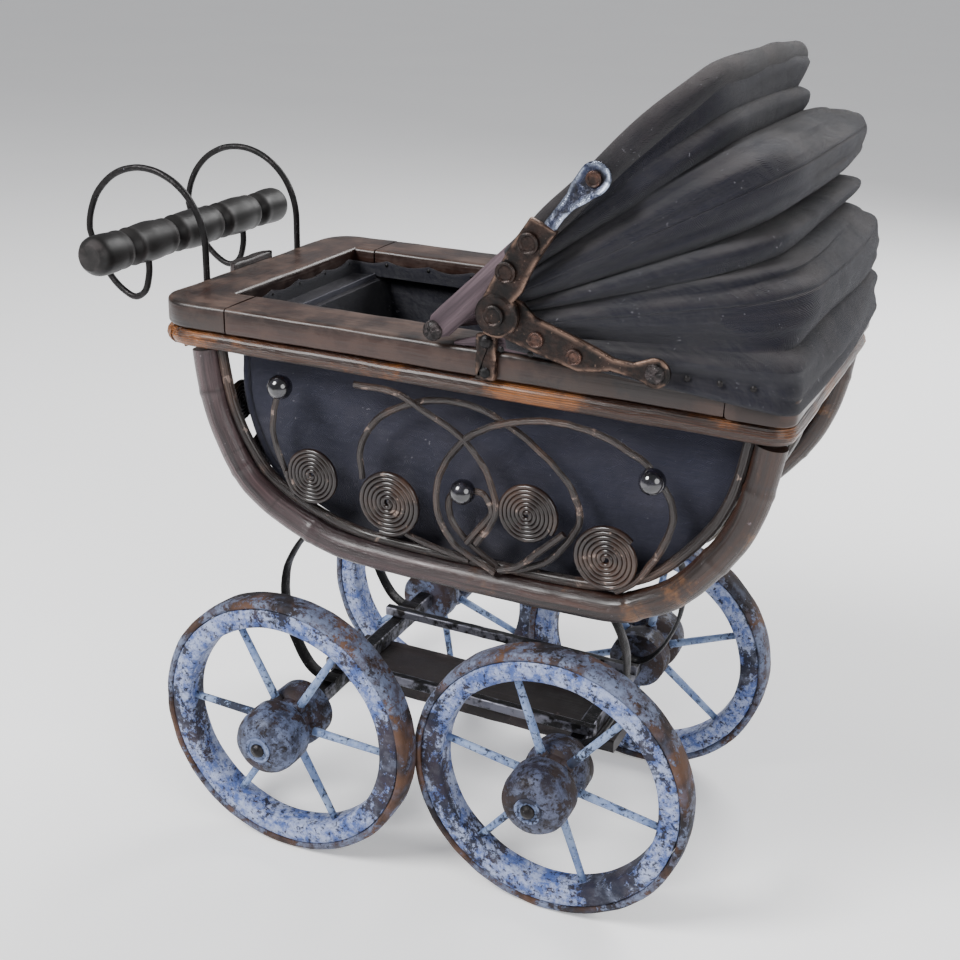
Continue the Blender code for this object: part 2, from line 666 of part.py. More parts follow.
def running_gear():
    """Two axles in square beams, tied by a plank and two iron bars."""
    for end, sign in ENDS.items():
        x = sign * WHEELBASE / 2
        beam_half = TRACKS[end] / 2 - HUB_INNER - 2 * GAP
        beam = block(
            f"axle_beam_{end}",
            (x - BEAM / 2, -beam_half, WHEEL_RADIUS - BEAM / 2),
            (x + BEAM / 2, beam_half, WHEEL_RADIUS + BEAM / 2),
            "iron", FINE_EDGE,
        )
        passage = peg("passage", (x, -beam_half - BEAM, WHEEL_RADIUS), (x, beam_half + BEAM, WHEEL_RADIUS),
                      AXLE_RADIUS + GAP, "iron", 12)
        combine(beam, passage, "DIFFERENCE")
        tip = TRACKS[end] / 2 + HUB_OUTER + GAP
        turned(
            f"axle_{end}",
            [(0.0, tip + AXLE_HEAD), (AXLE_HEAD_RADIUS, tip + AXLE_HEAD / 2), (AXLE_HEAD_RADIUS, tip),
             (AXLE_RADIUS, tip), (AXLE_RADIUS, -tip), (AXLE_HEAD_RADIUS, -tip),
             (AXLE_HEAD_RADIUS, -tip - AXLE_HEAD / 2), (0.0, -tip - AXLE_HEAD)],
            (x, 0, WHEEL_RADIUS), "iron", 12,
        )
    plank_top = WHEEL_RADIUS - BEAM / 2 - GAP
    plank_end = WHEELBASE / 2 + PLANK_OVERHANG
    block(
        "perch_plank", (-plank_end, -PLANK_HALF_WIDTH, plank_top - PLANK_THICKNESS),
        (plank_end, PLANK_HALF_WIDTH, plank_top), "plank", EASED_EDGE,
    )
    bar_low = WHEEL_RADIUS + BEAM / 2 + GAP
    bar_end = WHEELBASE / 2 + PERCH_BAR_OVERHANG
    for side, hand in SIDES.items():
        block(
            f"perch_bar_{side}",
            (-bar_end, hand * PERCH_BAR_Y - PERCH_BAR / 2, bar_low),
            (bar_end, hand * PERCH_BAR_Y + PERCH_BAR / 2, bar_low + PERCH_BAR),
            "iron", FINE_EDGE,
        )


def spring_line(sign):
    """The bowed middle line of a C spring from the axle beam up to the body, at x = 0 on the axle."""
    foot = WHEEL_RADIUS + BEAM / 2 + GAP + SPRING_STRAP / 2
    head = BODY_BOTTOM + FLOOR_RAIL_RISE - GAP - SPRING_STRAP / 2
    tall = head - foot
    bulge = sign * SPRING_BULGE
    knots = (
        (-0.24 * bulge, foot),
        (0.18 * bulge, foot),
        (0.60 * bulge, foot + 0.10 * tall),
        (bulge, foot + 0.36 * tall),
        (bulge, foot + 0.66 * tall),
        (0.55 * bulge, foot + 0.90 * tall),
        (0.06 * bulge, head),
        (-0.67 * bulge, head),
    )
    return [(x, min(max(z, foot), head)) for x, z in smooth_run(knots, 2)]


def springs():
    """Four iron C springs that carry the body on the axle beams."""
    for end, sign in ENDS.items():
        line = spring_line(sign)
        for side, hand in SIDES.items():
            bm = bmesh.new()
            row = []
            for x, z in line:
                row.append(bm.verts.new((x + sign * WHEELBASE / 2, hand * SPRING_Y - SPRING_WIDTH / 2, z)))
            edges = [bm.edges.new(pair) for pair in zip(row, row[1:])]
            wide = bmesh.ops.extrude_edge_only(bm, edges=edges)["geom"]
            moved = [item for item in wide if isinstance(item, bmesh.types.BMVert)]
            bmesh.ops.translate(bm, vec=(0, SPRING_WIDTH, 0), verts=moved)
            strap = from_bmesh(f"c_spring_{side}_{end}", bm, "iron")
            thick = strap.modifiers.new("strap", "SOLIDIFY")
            thick.thickness = SPRING_STRAP
            thick.offset = 0.0


# ---------------------------------------------------------------- push bar
def push_bar():
    """A turned bar hung in two curled wire hoops that stand on the end board."""
    groove = BAR_RADIUS - BAR_GROOVE
    waist = BAR_RADIUS - BAR_WAIST
    half = BAR_LENGTH / 2
    drop, dome = BAR_DOME
    rings = [BAR_RINGS[0], BAR_RINGS[1], -BAR_RINGS[1], -BAR_RINGS[0]]
    profile = [(0.0, half), (BAR_RADIUS - drop, half), (BAR_RADIUS - drop / 4, half - dome)]
    for ring, following in zip(rings, rings[1:] + [None]):
        profile += [(BAR_RADIUS, ring + BAR_RING_HALF), (groove, ring), (BAR_RADIUS, ring - BAR_RING_HALF)]
        if following is not None:
            profile.append((waist, (ring + following) / 2))
    profile += [(BAR_RADIUS - drop / 4, -half + dome), (BAR_RADIUS - drop, -half), (0.0, -half)]
    bar = turned("push_bar", profile, (BAR_X, 0, BAR_Z), "bar_wood", 16)
    foot_x = RIM_HANDLE_X - HOOP_WIRE - GAP
    lift = math.degrees(math.acos((foot_x - HOOP_X) / HOOP_RADIUS))
    end_x = BAR_X + 0.0022
    end_z = BAR_Z - BAR_RADIUS + 0.0042
    curl = (
        (HOOP_X - HOOP_RADIUS, HOOP_Z - 0.0010),
        (HOOP_X - 0.70 * HOOP_RADIUS, HOOP_Z - 0.58 * HOOP_RADIUS),
        (HOOP_X - 0.34 * HOOP_RADIUS, HOOP_Z - 0.85 * HOOP_RADIUS),
        (HOOP_X - 0.10 * HOOP_RADIUS, HOOP_Z - 0.78 * HOOP_RADIUS),
        (end_x, BAR_Z - BAR_RADIUS - 0.0040),
        (end_x, end_z),
    )
    for side, hand in SIDES.items():
        y = hand * HOOP_Y
        run = [(foot_x, RIM_UNDER + 0.0008)]
        run += arc((HOOP_X, HOOP_Z), HOOP_RADIUS, -lift, 178, 18)
        run += smooth_run(curl, 2)[1:]
        rod(f"handle_hoop_{side}", [(x, y, z) for x, z in run], HOOP_WIRE, "iron", resolution=1)
        below = (end_x, y, BAR_Z - 2 * BAR_RADIUS)
        hole = peg("hole", below, (end_x, y, end_z + GAP), HOOP_WIRE + GAP, "iron", 8)
        combine(bar, hole, "DIFFERENCE")
    settle(bar)


# ---------------------------------------------------------------- hood
def bow_point(angle, reach, y):
    turn = math.radians(angle)
    return (HOOD_PIVOT_X + reach * math.cos(turn), y, HOOD_PIVOT_Z + reach * math.sin(turn))


def bow_half(leg_y, reach, start):
    """(y, reach) points of half a bow, from its leg up round the corner to the middle of the crown."""
    out = [(leg_y, start), (leg_y, (start + reach - BOW_CORNER) / 2), (leg_y, reach - BOW_CORNER)]
    for i in range(1, 5):
        bend = math.radians(22.5 * i)
        out.append((leg_y - BOW_CORNER * (1 - math.cos(bend)), reach - BOW_CORNER * (1 - math.sin(bend))))
    out.append((0.0, reach + CROWN_RISE))
    return out


def bow_line(angle, half):
    """A whole bow in space from its near leg to its far leg."""
    near = [bow_point(angle, reach, -y) for y, reach in half]
    far = [bow_point(angle, reach, y) for y, reach in reversed(half[:-1])]
    return near + far


def hood_bows():
    """Three bent bows that turn on one pair of pivot screws."""
    axis = (HOOD_PIVOT_X, 0.0, HOOD_PIVOT_Z)
    for name, leg in BOW_LEG_Y.items():
        half = bow_half(leg, BOW_REACHES[name], EYE_RADIUS * 0.8)
        bow = rod(f"hood_bow_{name}", bow_line(BOW_ANGLES[name], half), BOW_RADII[name], "bow_wood")
        for hand in SIDES.values():
            inner = (axis[0], hand * leg - EYE_HALF, axis[2])
            outer = (axis[0], hand * leg + EYE_HALF, axis[2])
            combine(bow, peg("eye", inner, outer, EYE_RADIUS, "bow_wood", 12), "UNION")
        settle(bow)
        hole = peg("hole", (axis[0], -2 * leg, axis[2]), (axis[0], 2 * leg, axis[2]), PIVOT_PIN + PIN_CLEARANCE,
                   "bow_wood", 12)
        combine(bow, hole, "DIFFERENCE")
        settle(bow)
        pivoted(bow, axis)
    inner = BOW_LEG_Y["rear"] - BOW_RADII["rear"] - GAP
    outer = BOW_LEG_Y["front"] + BOW_RADII["front"] + GAP
    for side, hand in SIDES.items():
        nut, length = PIVOT_NUT
        run = [(0.0, outer + PIVOT_HEAD_RISE), (PIVOT_HEAD * 0.8, outer + 0.9 * PIVOT_HEAD_RISE),
               (PIVOT_HEAD, outer), (PIVOT_PIN, outer), (PIVOT_PIN, inner), (nut, inner),
               (nut, inner - length), (0.0, inner - length)]
        screw = turned(f"hood_pivot_{side}", run, (0, 0, 0), "landau_iron", 14)
        if hand < 0:
            screw.data.transform(Matrix.Rotation(math.pi, 4, "Z"))
        screw.data.transform(Matrix.Translation(axis))


def hood_canvas():
    """Canvas between the bows, dipping between them, down to the rail on the rim."""
    order = ("rail", "rear", "middle", "front")
    columns = 4
    trim = 0.35                     # degrees kept clear between neighbouring panels
    leg = BOW_LEG_Y["front"] + BOW_RADII["front"] + CANVAS_CLEAR
    proud = BOW_RADII["front"] + CANVAS_CLEAR + CANVAS
    for low, high in zip(order, order[1:]):
        grid = []
        bm = bmesh.new()
        for column in range(columns + 1):
            share = column / columns
            first = BOW_ANGLES[low] + (trim if low != "rail" else 0.0)
            last = BOW_ANGLES[high] - (trim if high != "front" else 0.0)
            angle = first + (last - first) * share
            reach = BOW_REACHES[low] + (BOW_REACHES[high] - BOW_REACHES[low]) * share
            sag = CANVAS_SAG * math.sin(math.pi * share) * (last - first) / 20.0
            line = bow_line(angle, bow_half(leg, reach + proud - sag, CANVAS_START))
            grid.append([bm.verts.new(point) for point in line])
        for left, right in zip(grid, grid[1:]):
            for i in range(len(left) - 1):
                bm.faces.new((left[i], left[i + 1], right[i + 1], right[i]))
        panel = from_bmesh(f"hood_canvas_{high}", bm, "canvas", smooth_below=60)
        wall = panel.modifiers.new("cloth", "SOLIDIFY")
        wall.thickness = CANVAS
        wall.offset = 1.0


def base_rail():
    """The bent lath on the rim that the hood canvas is tacked to."""
    middle_y = RIM_HALF_WIDTH - RAIL_THICKNESS / 2 - GAP
    low = RIM_HEIGHT + GAP
    tip = HOOD_PIVOT_X + RAIL_TIP
    end = RIM_HOOD_X - RAIL_THICKNESS / 2 - GAP
    turn = HOOD_CORNER
    half = [(tip, middle_y), (tip + RAIL_TAPER, middle_y)]
    half += arc((end - turn, middle_y - turn), turn, 90, 0, 4)
    line = [(x, -y) for x, y in half] + half[::-1]
    bm = bmesh.new()
    row = []
    for x, y in line:
        rise = RAIL_HEIGHT * min(1.0, 0.2 + 0.8 * (x - tip) / RAIL_TAPER)
        row.append((bm.verts.new((x, y, low)), bm.verts.new((x, y, low + rise))))
    for here, there in zip(row, row[1:]):
        bm.faces.new((here[0], there[0], there[1], here[1]))
    lath = from_bmesh("hood_base_rail", bm, "bow_wood")
    thick = lath.modifiers.new("lath", "SOLIDIFY")
    thick.thickness = RAIL_THICKNESS
    thick.offset = 0.0


# ---------------------------------------------------------------- landau irons
def elbow():
    """Where the two irons meet, (x, z), from their lengths."""
    turn = math.radians(BOW_ANGLES["front"])
    eye = Vector((HOOD_PIVOT_X, HOOD_PIVOT_Z))
    eye += UPPER_EYE_REACH * Vector((math.cos(turn), math.sin(turn)))
    foot = Vector((LOWER_EYE_X, LOWER_EYE_Z))
    span = (eye - foot).length
    along = (LOWER_IRON ** 2 - UPPER_IRON ** 2 + span ** 2) / (2 * span)
    aside = math.sqrt(LOWER_IRON ** 2 - along ** 2)
    line = (eye - foot) / span
    return foot, foot + line * along + Vector((-line.y, line.x)) * aside, eye


def iron_outline(start, stop, widths, round_end):
    """A plate outline from one pin to the next: widths are (share of length, half width) stations."""
    run = stop - start
    length = run.length
    along = run / length
    across = Vector((-along.y, along.x))
    left = [start + along * (length * share) + across * half for share, half in widths]
    right = [start + along * (length * share) - across * half for share, half in reversed(widths)]
    turn = math.degrees(math.atan2(across.y, across.x))
    nose = []
    for point in arc((start.x, start.y), round_end, turn - 180, turn - 360, 8):
        nose.append(point)
    tail = []
    for point in arc((stop.x, stop.y), widths[-1][1], turn, turn - 180, 6):
        tail.append(point)
    return nose[1:-1] + [(p.x, p.y) for p in left] + tail[1:-1] + [(p.x, p.y) for p in right]


LOWER_WIDTHS = ((0.02, 0.0040), (0.10, 0.0026), (0.42, 0.0026), (0.50, 0.0048), (0.80, 0.0062), (0.98, 0.0064))
UPPER_WIDTHS = (
    (0.02, 0.0064), (0.18, 0.0068), (0.50, 0.0058), (0.64, 0.0052), (0.66, 0.0026), (0.90, 0.0026), (0.98, 0.0038),
)


def landau_plates(side, hand, foot, joint, eye):
    """The lower iron, hinged on the rail, and the upper iron, hinged on the lower one."""
    low_y = hand * IRON_Y
    high_y = hand * (IRON_Y + IRON_STEP)
    lower = plate(f"landau_iron_lower_{side}", iron_outline(foot, joint, LOWER_WIDTHS, 0.0045), IRON_THICKNESS,
                  low_y, "landau_iron")
    upper = plate(f"landau_iron_upper_{side}", iron_outline(joint, eye, UPPER_WIDTHS, 0.0068), IRON_THICKNESS,
                  high_y, "landau_iron")
    for piece, (x, z) in ((lower, foot), (lower, joint), (upper, joint)):
        bore = peg("bore", (x, -2 * IRON_Y, z), (x, 2 * IRON_Y, z), IRON_PIN + PIN_CLEARANCE, "landau_iron", 12)
        combine(piece, bore, "DIFFERENCE")
    settle(lower)
    settle(upper)
    pivoted(lower, (foot.x, low_y, foot.y))
    pivoted(upper, (joint.x, high_y, joint.y))


def landau_irons():
    """Jointed hood irons with the elbow rivet and the screw that holds the lower eye to the rail."""
    foot, joint, eye = elbow()
    inner = IRON_Y - IRON_THICKNESS / 2 - GAP
    outer = IRON_Y + IRON_STEP + IRON_THICKNESS / 2 + GAP
    eye_face = outer - IRON_STEP
    for side, hand in SIDES.items():
        landau_plates(side, hand, foot, joint, eye)
        rivet = turned(
            f"landau_rivet_{side}",
            [(0.0, outer + RIVET_HEAD[1]), (0.8 * RIVET_HEAD[0], outer + 0.8 * RIVET_HEAD[1]),
             (RIVET_HEAD[0], outer), (IRON_PIN, outer), (IRON_PIN, inner), (1.6 * IRON_PIN, inner),
             (1.6 * IRON_PIN, inner - 2 * GAP), (0.0, inner - 2 * GAP)],
            (0, 0, 0), "landau_iron", 12,
        )
        screw = turned(
            f"landau_screw_{side}",
            [(0.0, eye_face + SCREW_HEAD[1]), (0.8 * SCREW_HEAD[0], eye_face + 0.7 * SCREW_HEAD[1]),
             (SCREW_HEAD[0], eye_face), (IRON_PIN, eye_face), (IRON_PIN, inner), (SCREW_HEAD[0], inner),
             (SCREW_HEAD[0], RIM_HALF_WIDTH), (0.0, RIM_HALF_WIDTH)],
            (0, 0, 0), "landau_iron", 12,
        )
        for piece, (x, z) in ((rivet, joint), (screw, foot)):
            if hand < 0:
                piece.data.transform(Matrix.Rotation(math.pi, 4, "Z"))
            piece.data.transform(Matrix.Translation((x, 0, z)))


def strap_brackets():
    """Pressed straps nailed over the rim below the hood's elbow."""
    for side, hand in SIDES.items():
        inner = hand * (RIM_HALF_WIDTH + GAP)
        outer = inner + hand * STRAP_THICKNESS
        block(
            f"rim_strap_{side}",
            (STRAP_X, min(inner, outer), RIM_UNDER),
            (STRAP_X + STRAP_WIDTH, max(inner, outer), RIM_HEIGHT + STRAP_RISE),
            "landau_iron", FINE_EDGE / 2,
        )


def stand_on_origin():
    """Move the whole pram so that the origin is on the floor, in the middle of its outline."""
    bpy.context.view_layer.update()
    graph = bpy.context.evaluated_depsgraph_get()
    reach = []
    for obj in parts.objects:
        seen = obj.evaluated_get(graph)
        reach += [seen.matrix_world @ Vector(corner) for corner in seen.bound_box]
    middle_x = (min(p.x for p in reach) + max(p.x for p in reach)) / 2
    middle_y = (min(p.y for p in reach) + max(p.y for p in reach)) / 2
    for obj in list(parts.objects) + list(cutters.objects):
        obj.location -= Vector((middle_x, middle_y, 0.0))


rim_boards()
cane_band()
body_frame()
end_ribs()
scrollwork()
tub_lining()
wheels()
running_gear()
springs()
push_bar()
hood_bows()
hood_canvas()
base_rail()
landau_irons()
strap_brackets()
stand_on_origin()
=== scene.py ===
"""Looks of a small doll's pram: worn canvas, rattan, chipped paint and iron round a fixed frame.

Places are given along x from the middle between the axles, in metres. +X is the hood end, -Y the near side.
"""

import math
import random

import bmesh
import bpy
from mathutils import Matrix, Vector, noise
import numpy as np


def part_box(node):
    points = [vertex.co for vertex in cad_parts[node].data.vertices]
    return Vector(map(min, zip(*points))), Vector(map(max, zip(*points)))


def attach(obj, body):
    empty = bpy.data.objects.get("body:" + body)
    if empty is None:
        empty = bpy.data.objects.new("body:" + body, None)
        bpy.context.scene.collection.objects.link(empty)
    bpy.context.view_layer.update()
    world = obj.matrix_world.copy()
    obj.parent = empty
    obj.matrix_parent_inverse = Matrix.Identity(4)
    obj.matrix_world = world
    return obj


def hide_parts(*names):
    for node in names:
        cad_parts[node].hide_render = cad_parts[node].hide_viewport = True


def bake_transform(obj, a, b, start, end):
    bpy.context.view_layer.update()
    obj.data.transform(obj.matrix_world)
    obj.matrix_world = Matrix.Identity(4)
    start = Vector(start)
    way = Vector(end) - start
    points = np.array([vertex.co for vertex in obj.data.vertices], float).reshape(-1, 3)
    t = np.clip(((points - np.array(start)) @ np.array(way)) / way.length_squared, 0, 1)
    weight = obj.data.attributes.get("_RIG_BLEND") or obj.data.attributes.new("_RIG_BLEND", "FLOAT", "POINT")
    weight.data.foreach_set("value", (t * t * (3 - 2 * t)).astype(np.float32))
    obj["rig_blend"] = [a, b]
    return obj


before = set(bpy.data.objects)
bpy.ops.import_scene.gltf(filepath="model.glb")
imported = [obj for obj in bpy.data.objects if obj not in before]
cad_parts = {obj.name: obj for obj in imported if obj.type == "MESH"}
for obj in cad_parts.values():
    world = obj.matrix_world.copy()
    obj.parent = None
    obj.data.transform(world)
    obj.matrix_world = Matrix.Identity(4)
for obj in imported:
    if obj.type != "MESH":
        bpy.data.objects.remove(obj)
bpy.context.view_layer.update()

# ---------------------------------------------------------------- places read from the frame
SIDES = {"near": -1.0, "far": 1.0}
ENDS = {"handle": -1.0, "hood": 1.0}


def middle(node):
    low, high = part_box(node)
    return (low + high) / 2


MIDDLE_X = (middle("wheel_rim_near_handle").x + middle("wheel_rim_near_hood").x) / 2


def box(node):
    """The lowest and highest corner of a frame node, with x from the middle between the axles."""
    low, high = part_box(node)
    shift = Vector((MIDDLE_X, 0, 0))
    return low - shift, high - shift


WHEEL_RADIUS = box("wheel_rim_near_hood")[1].z / 2
RIM_TOP = box("rim_board_near")[1].z
RIM_UNDER = box("rim_board_near")[0].z
RIM_OUT = box("rim_board_far")[1].y
RIM_IN = box("rim_board_far")[0].y
HANDLE_X = box("rim_board_handle_end")[0].x
HOOD_X = box("rim_board_hood_end")[1].x
POLE_RADIUS = 0.0050
HANDLE_BEND = 0.0130    # the rim's corner radius at the push-bar end
HOOD_BEND = 0.0045      # and at the hood end
BOARD_EDGE = 0.0012     # the rounding of the rim boards' edges
LINING_GAP = 0.0004     # between the lining and the boards
COVER_INSET = 0.0042    # from the poles' centre line to the tub's cover
COVER_PULL = 0.0086     # how far the cover's top edge is drawn in at the push-bar end
COVER_WIDE = 0.0497     # the cover's half width
TUB_POINTS = 168        # points round the tub; its tacked scallops are six points wide
SIDE_Y = box("side_bow_far")[1].y - POLE_RADIUS
POLE_HANDLE_X = box("side_bow_near")[0].x + POLE_RADIUS
POLE_HOOD_X = box("side_bow_near")[1].x - POLE_RADIUS
POLE_LOW = box("side_bow_near")[0].z + POLE_RADIUS
POLE_TOP = box("side_bow_near")[1].z
CANE_Z = (box("cane_band")[0].z + box("cane_band")[1].z) / 2
CANE_RADIUS = (box("cane_band")[1].z - box("cane_band")[0].z) / 2
PIVOT_X = box("hood_pivot_near")[0].x / 2 + box("hood_pivot_near")[1].x / 2
PIVOT_Z = box("hood_pivot_near")[0].z / 2 + box("hood_pivot_near")[1].z / 2
LOWER_EYE = (0.0795, 0.2045)
ELBOW = (0.0317, 0.2154)
UPPER_EYE = (0.0591, 0.2566)
IRON_Y = 0.0692
LOWER_PLATE = (-0.0010, 0.0010)     # the irons' inner and outer faces, out from IRON_Y
UPPER_PLATE = (0.0016, 0.0036)
ARM_PLATE = (0.0015, 0.0031)
REAR_ANGLE, MIDDLE_ANGLE, FRONT_ANGLE = 12.5, 29.0, 45.0
FRONT_LEG_Y = 0.0613
random.seed(7)
noise.seed_set(11)


# ---------------------------------------------------------------- shapes
SAME_POINT = 0.000004
SHARP_ANGLE = math.radians(42)


class Shape:
    """Points, faces and face-corner coordinates of a piece, gathered stretch by stretch."""

    def __init__(self):
        self.points = []
        self.faces = []
        self.coords = []
        self.marks = []

    def grid(self, rows, closed=False, coords=None, marks=None):
        """A net of rows of points; a closed net joins the last column to the first."""
        first = len(self.points)
        wide = len(rows[0])
        for i, row in enumerate(rows):
            for j, point in enumerate(row):
                self.points.append(Vector(point))
                self.marks.append(marks(i, j) if marks else 0.0)
        for i in range(len(rows) - 1):
            for j in range(wide if closed else wide - 1):
                after = (j + 1) % wide
                corners = [(i, j, j), (i, after, j + 1), (i + 1, after, j + 1), (i + 1, j, j)]
                self.faces.append([first + a * wide + b for a, b, c in corners])
                self.coords.append([coords(a, c) if coords else (a, c) for a, b, c in corners])
        return first

    def cap(self, first, count, flip=False):
        """One flat face over a ring of points."""
        ring = list(range(first, first + count))
        if flip:
            ring.reverse()
        self.faces.append(ring)
        self.coords.append([(0.0, 0.0)] * count)

    def tube(self, path, radius, sides=12, closed=False, squash=1.0, up=(0, 0, 1), lobes=0, depth=0.0):
        """A round or flattened rod along a path; radius may be a function of the share of its length."""
        path = [Vector(point) for point in path]
        total = len(path)
        runs = [0.0]
        for a, b in zip(path, path[1:] + path[:1]):
            runs.append(runs[-1] + (b - a).length)
        length = runs[total] if closed else runs[total - 1]
        side = None
        rows = []
        for i in range(total + (1 if closed else 0)):
            k = i % total
            before = path[k - 1] if (closed or k > 0) else path[0]
            after = path[(k + 1) % total] if (closed or k < total - 1) else path[-1]
            ahead = (after - before).normalized()
            if side is None:
                side = ahead.cross(Vector(up))
                if side.length < 0.01:
                    side = ahead.cross(Vector((0, 1, 0)))
            side = (side - ahead * side.dot(ahead)).normalized()
            over = side.cross(ahead)
            size = radius(runs[i] / length) if callable(radius) else radius
            row = []
            for j in range(sides):
                turn = 2 * math.pi * j / sides
                reach = size * (1 - depth * abs(math.sin(lobes * turn / 2))) if lobes else size
                row.append(path[k] + side * (reach * math.cos(turn))
                           + over * (reach * squash * math.sin(turn)))
            rows.append(row)
        around = 2 * math.pi * (radius(0.5) if callable(radius) else radius)

        def place(i, j):
            return (runs[i], around * j / sides)

        if closed:
            rows.pop()
            first = len(self.points)
            self.grid(rows, closed=True, coords=place)
            wide = len(rows[0])
            for j in range(wide):
                k = (j + 1) % wide
                last = first + (total - 1) * wide
                self.faces.append([last + j, last + k, first + k, first + j])
                self.coords.append([place(total - 1, j), place(total - 1, j + 1),
                                    place(total, j + 1), place(total, j)])
        else:
            first = self.grid(rows, closed=True, coords=place)
            self.cap(first, sides, flip=True)
            self.cap(first + (total - 1) * sides, sides)
        return self

    def lathe(self, profile, centre, axis="Y", steps=48):
        """Turn (radius, along) points round an axis."""
        centre = Vector(centre)
        rows = []
        for radius, along in profile:
            row = []
            reach = max(radius, 0.00001)
            for j in range(steps):
                turn = 2 * math.pi * j / steps
                a, b = reach * math.cos(turn), reach * math.sin(turn)
                row.append(centre + Vector((a, along, b) if axis == "Y" else (a, b, along)))
            rows.append(row)
        widest = max(radius for radius, along in profile)
        down = [0.0]
        for a, b in zip(profile, profile[1:]):
            down.append(down[-1] + math.hypot(b[0] - a[0], b[1] - a[1]))
        self.grid(rows, closed=True, coords=lambda i, j: (2 * math.pi * widest * j / steps, down[i]))
        return self

    def board(self, outer, inner, low, top, round_by=0.0010):
        """A flat board between two plan lines, with rounded edges; marks are 1 along its worn edges."""
        rows = []
        bends = [(1 - math.cos(math.radians(a)), 1 - math.sin(math.radians(a))) for a in (90, 60, 30, 0)]
        shares = (0.14, 0.32, 0.5, 0.68, 0.86)
        runs = [0.0]
        for i, (o, n) in enumerate(zip(outer, inner)):
            out, inn = Vector((o[0], o[1], 0)), Vector((n[0], n[1], 0))
            if i:
                runs.append(runs[-1] + ((out + inn - before) / 2).length)
            before = out + inn
            width = (inn - out).length
            over = (inn - out).normalized()
            section = [(round_by * a, top - round_by * b) for a, b in reversed(bends)]
            section += [(width * share, top) for share in shares]
            section += [(width - round_by * a, top - round_by * b) for a, b in bends]
            section += [(width - round_by * a, low + round_by * b) for a, b in reversed(bends)]
            section += [(round_by * a, low + round_by * b) for a, b in bends]
            rows.append([out + over * d + Vector((0, 0, z)) for d, z in section])
        marks = [1] * 4 + [0] * 5 + [1] * 12
        spread = [0.0]
        for a, b in zip(rows[0], rows[0][1:] + rows[0][:1]):
            spread.append(spread[-1] + (b - a).length)
        first = self.grid(rows, closed=True, coords=lambda i, j: (runs[i], spread[j]),
                          marks=lambda i, j: marks[j])
        wide = len(rows[0])
        self.cap(first, wide, flip=True)
        self.cap(first + (len(rows) - 1) * wide, wide)
        return self

    def moved(self, move):
        self.points = [move @ point for point in self.points]
        return self

    def wobble(self, amount, scale, seed=0.0):
        """Push the points a little by smooth noise, so that nothing is drawn with a ruler."""
        for k, point in enumerate(self.points):
            push = noise.noise_vector(point * scale + Vector((seed, seed, seed)))
            self.points[k] = point + push * amount
        return self

    def mesh(self, name, look, fix=True):
        """The finished mesh, in the frame's own x, with its faces outwards."""
        data = bpy.data.meshes.new(name)
        data.from_pydata([(p.x + MIDDLE_X, p.y, p.z) for p in self.points], [], self.faces)
        layer = data.uv_layers.new(name="run")
        flat = [corner for face in self.coords for corner in face]
        for k, corner in enumerate(flat):
            layer.data[k].uv = corner
        edge = data.attributes.new("edge", "FLOAT", "POINT")
        for k, mark in enumerate(self.marks):
            edge.data[k].value = mark
        bm = bmesh.new()
        bm.from_mesh(data)
        bmesh.ops.remove_doubles(bm, verts=bm.verts, dist=SAME_POINT)
        bmesh.ops.dissolve_degenerate(bm, edges=bm.edges, dist=SAME_POINT / 2)
        if fix:
            bmesh.ops.recalc_face_normals(bm, faces=bm.faces)
        bm.to_mesh(data)
        bm.free()
        data.shade_smooth()
        data.set_sharp_from_angle(angle=SHARP_ANGLE)
        data.materials.append(look)
        return data


def placed(name, data):
    """A new object in the scene."""
    piece = bpy.data.objects.new(name, data)
    bpy.context.scene.collection.objects.link(piece)
    return piece


def show(name, data, body, hides=()):
    """Stand a finished mesh in the scene, riding on its body."""
    piece = placed(name, data)
    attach(piece, body)
    if hides:
        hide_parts(*hides)
    return piece


def baked(maker):
    """Turn an object with live modifiers into a plain mesh and remove it."""
    graph = bpy.context.evaluated_depsgraph_get()
    data = bpy.data.meshes.new_from_object(maker.evaluated_get(graph), depsgraph=graph)
    bpy.data.objects.remove(maker, do_unlink=True)
    return data


def arc(centre, radius, start, stop, steps):
    """Points of an arc in a plane, angles in degrees."""
    out = []
    for i in range(steps + 1):
        turn = math.radians(start + (stop - start) * i / steps)
        out.append((centre[0] + radius * math.cos(turn), centre[1] + radius * math.sin(turn)))
    return out


def flow(points, steps=6):
    """A smooth curve through chosen points of any dimension."""
    pts = [Vector(p) for p in points]
    ends = [pts[0] * 2 - pts[1]] + pts + [pts[-1] * 2 - pts[-2]]
    out = []
    for a, b, c, d in zip(ends, ends[1:], ends[2:], ends[3:]):
        for i in range(steps):
            t = i / steps
            out.append(0.5 * (2 * b + (c - a) * t + (2 * a - 5 * b + 4 * c - d) * t * t
                              + (3 * b - 3 * c + d - a) * t * t * t))
    out.append(pts[-1])
    return out


def spin_to(direction):
    """The turn that points +Z along a direction."""
    return Vector((0, 0, 1)).rotation_difference(Vector(direction)).to_matrix().to_4x4()


# ---------------------------------------------------------------- node trees
def tone(red, green, blue):
    """A paint-chart colour as the linear colour that a shader takes."""
    linear = [((c / 255 + 0.055) / 1.055) ** 2.4 if c > 10 else c / 3295 for c in (red, green, blue)]
    return tuple(linear) + (1.0,)


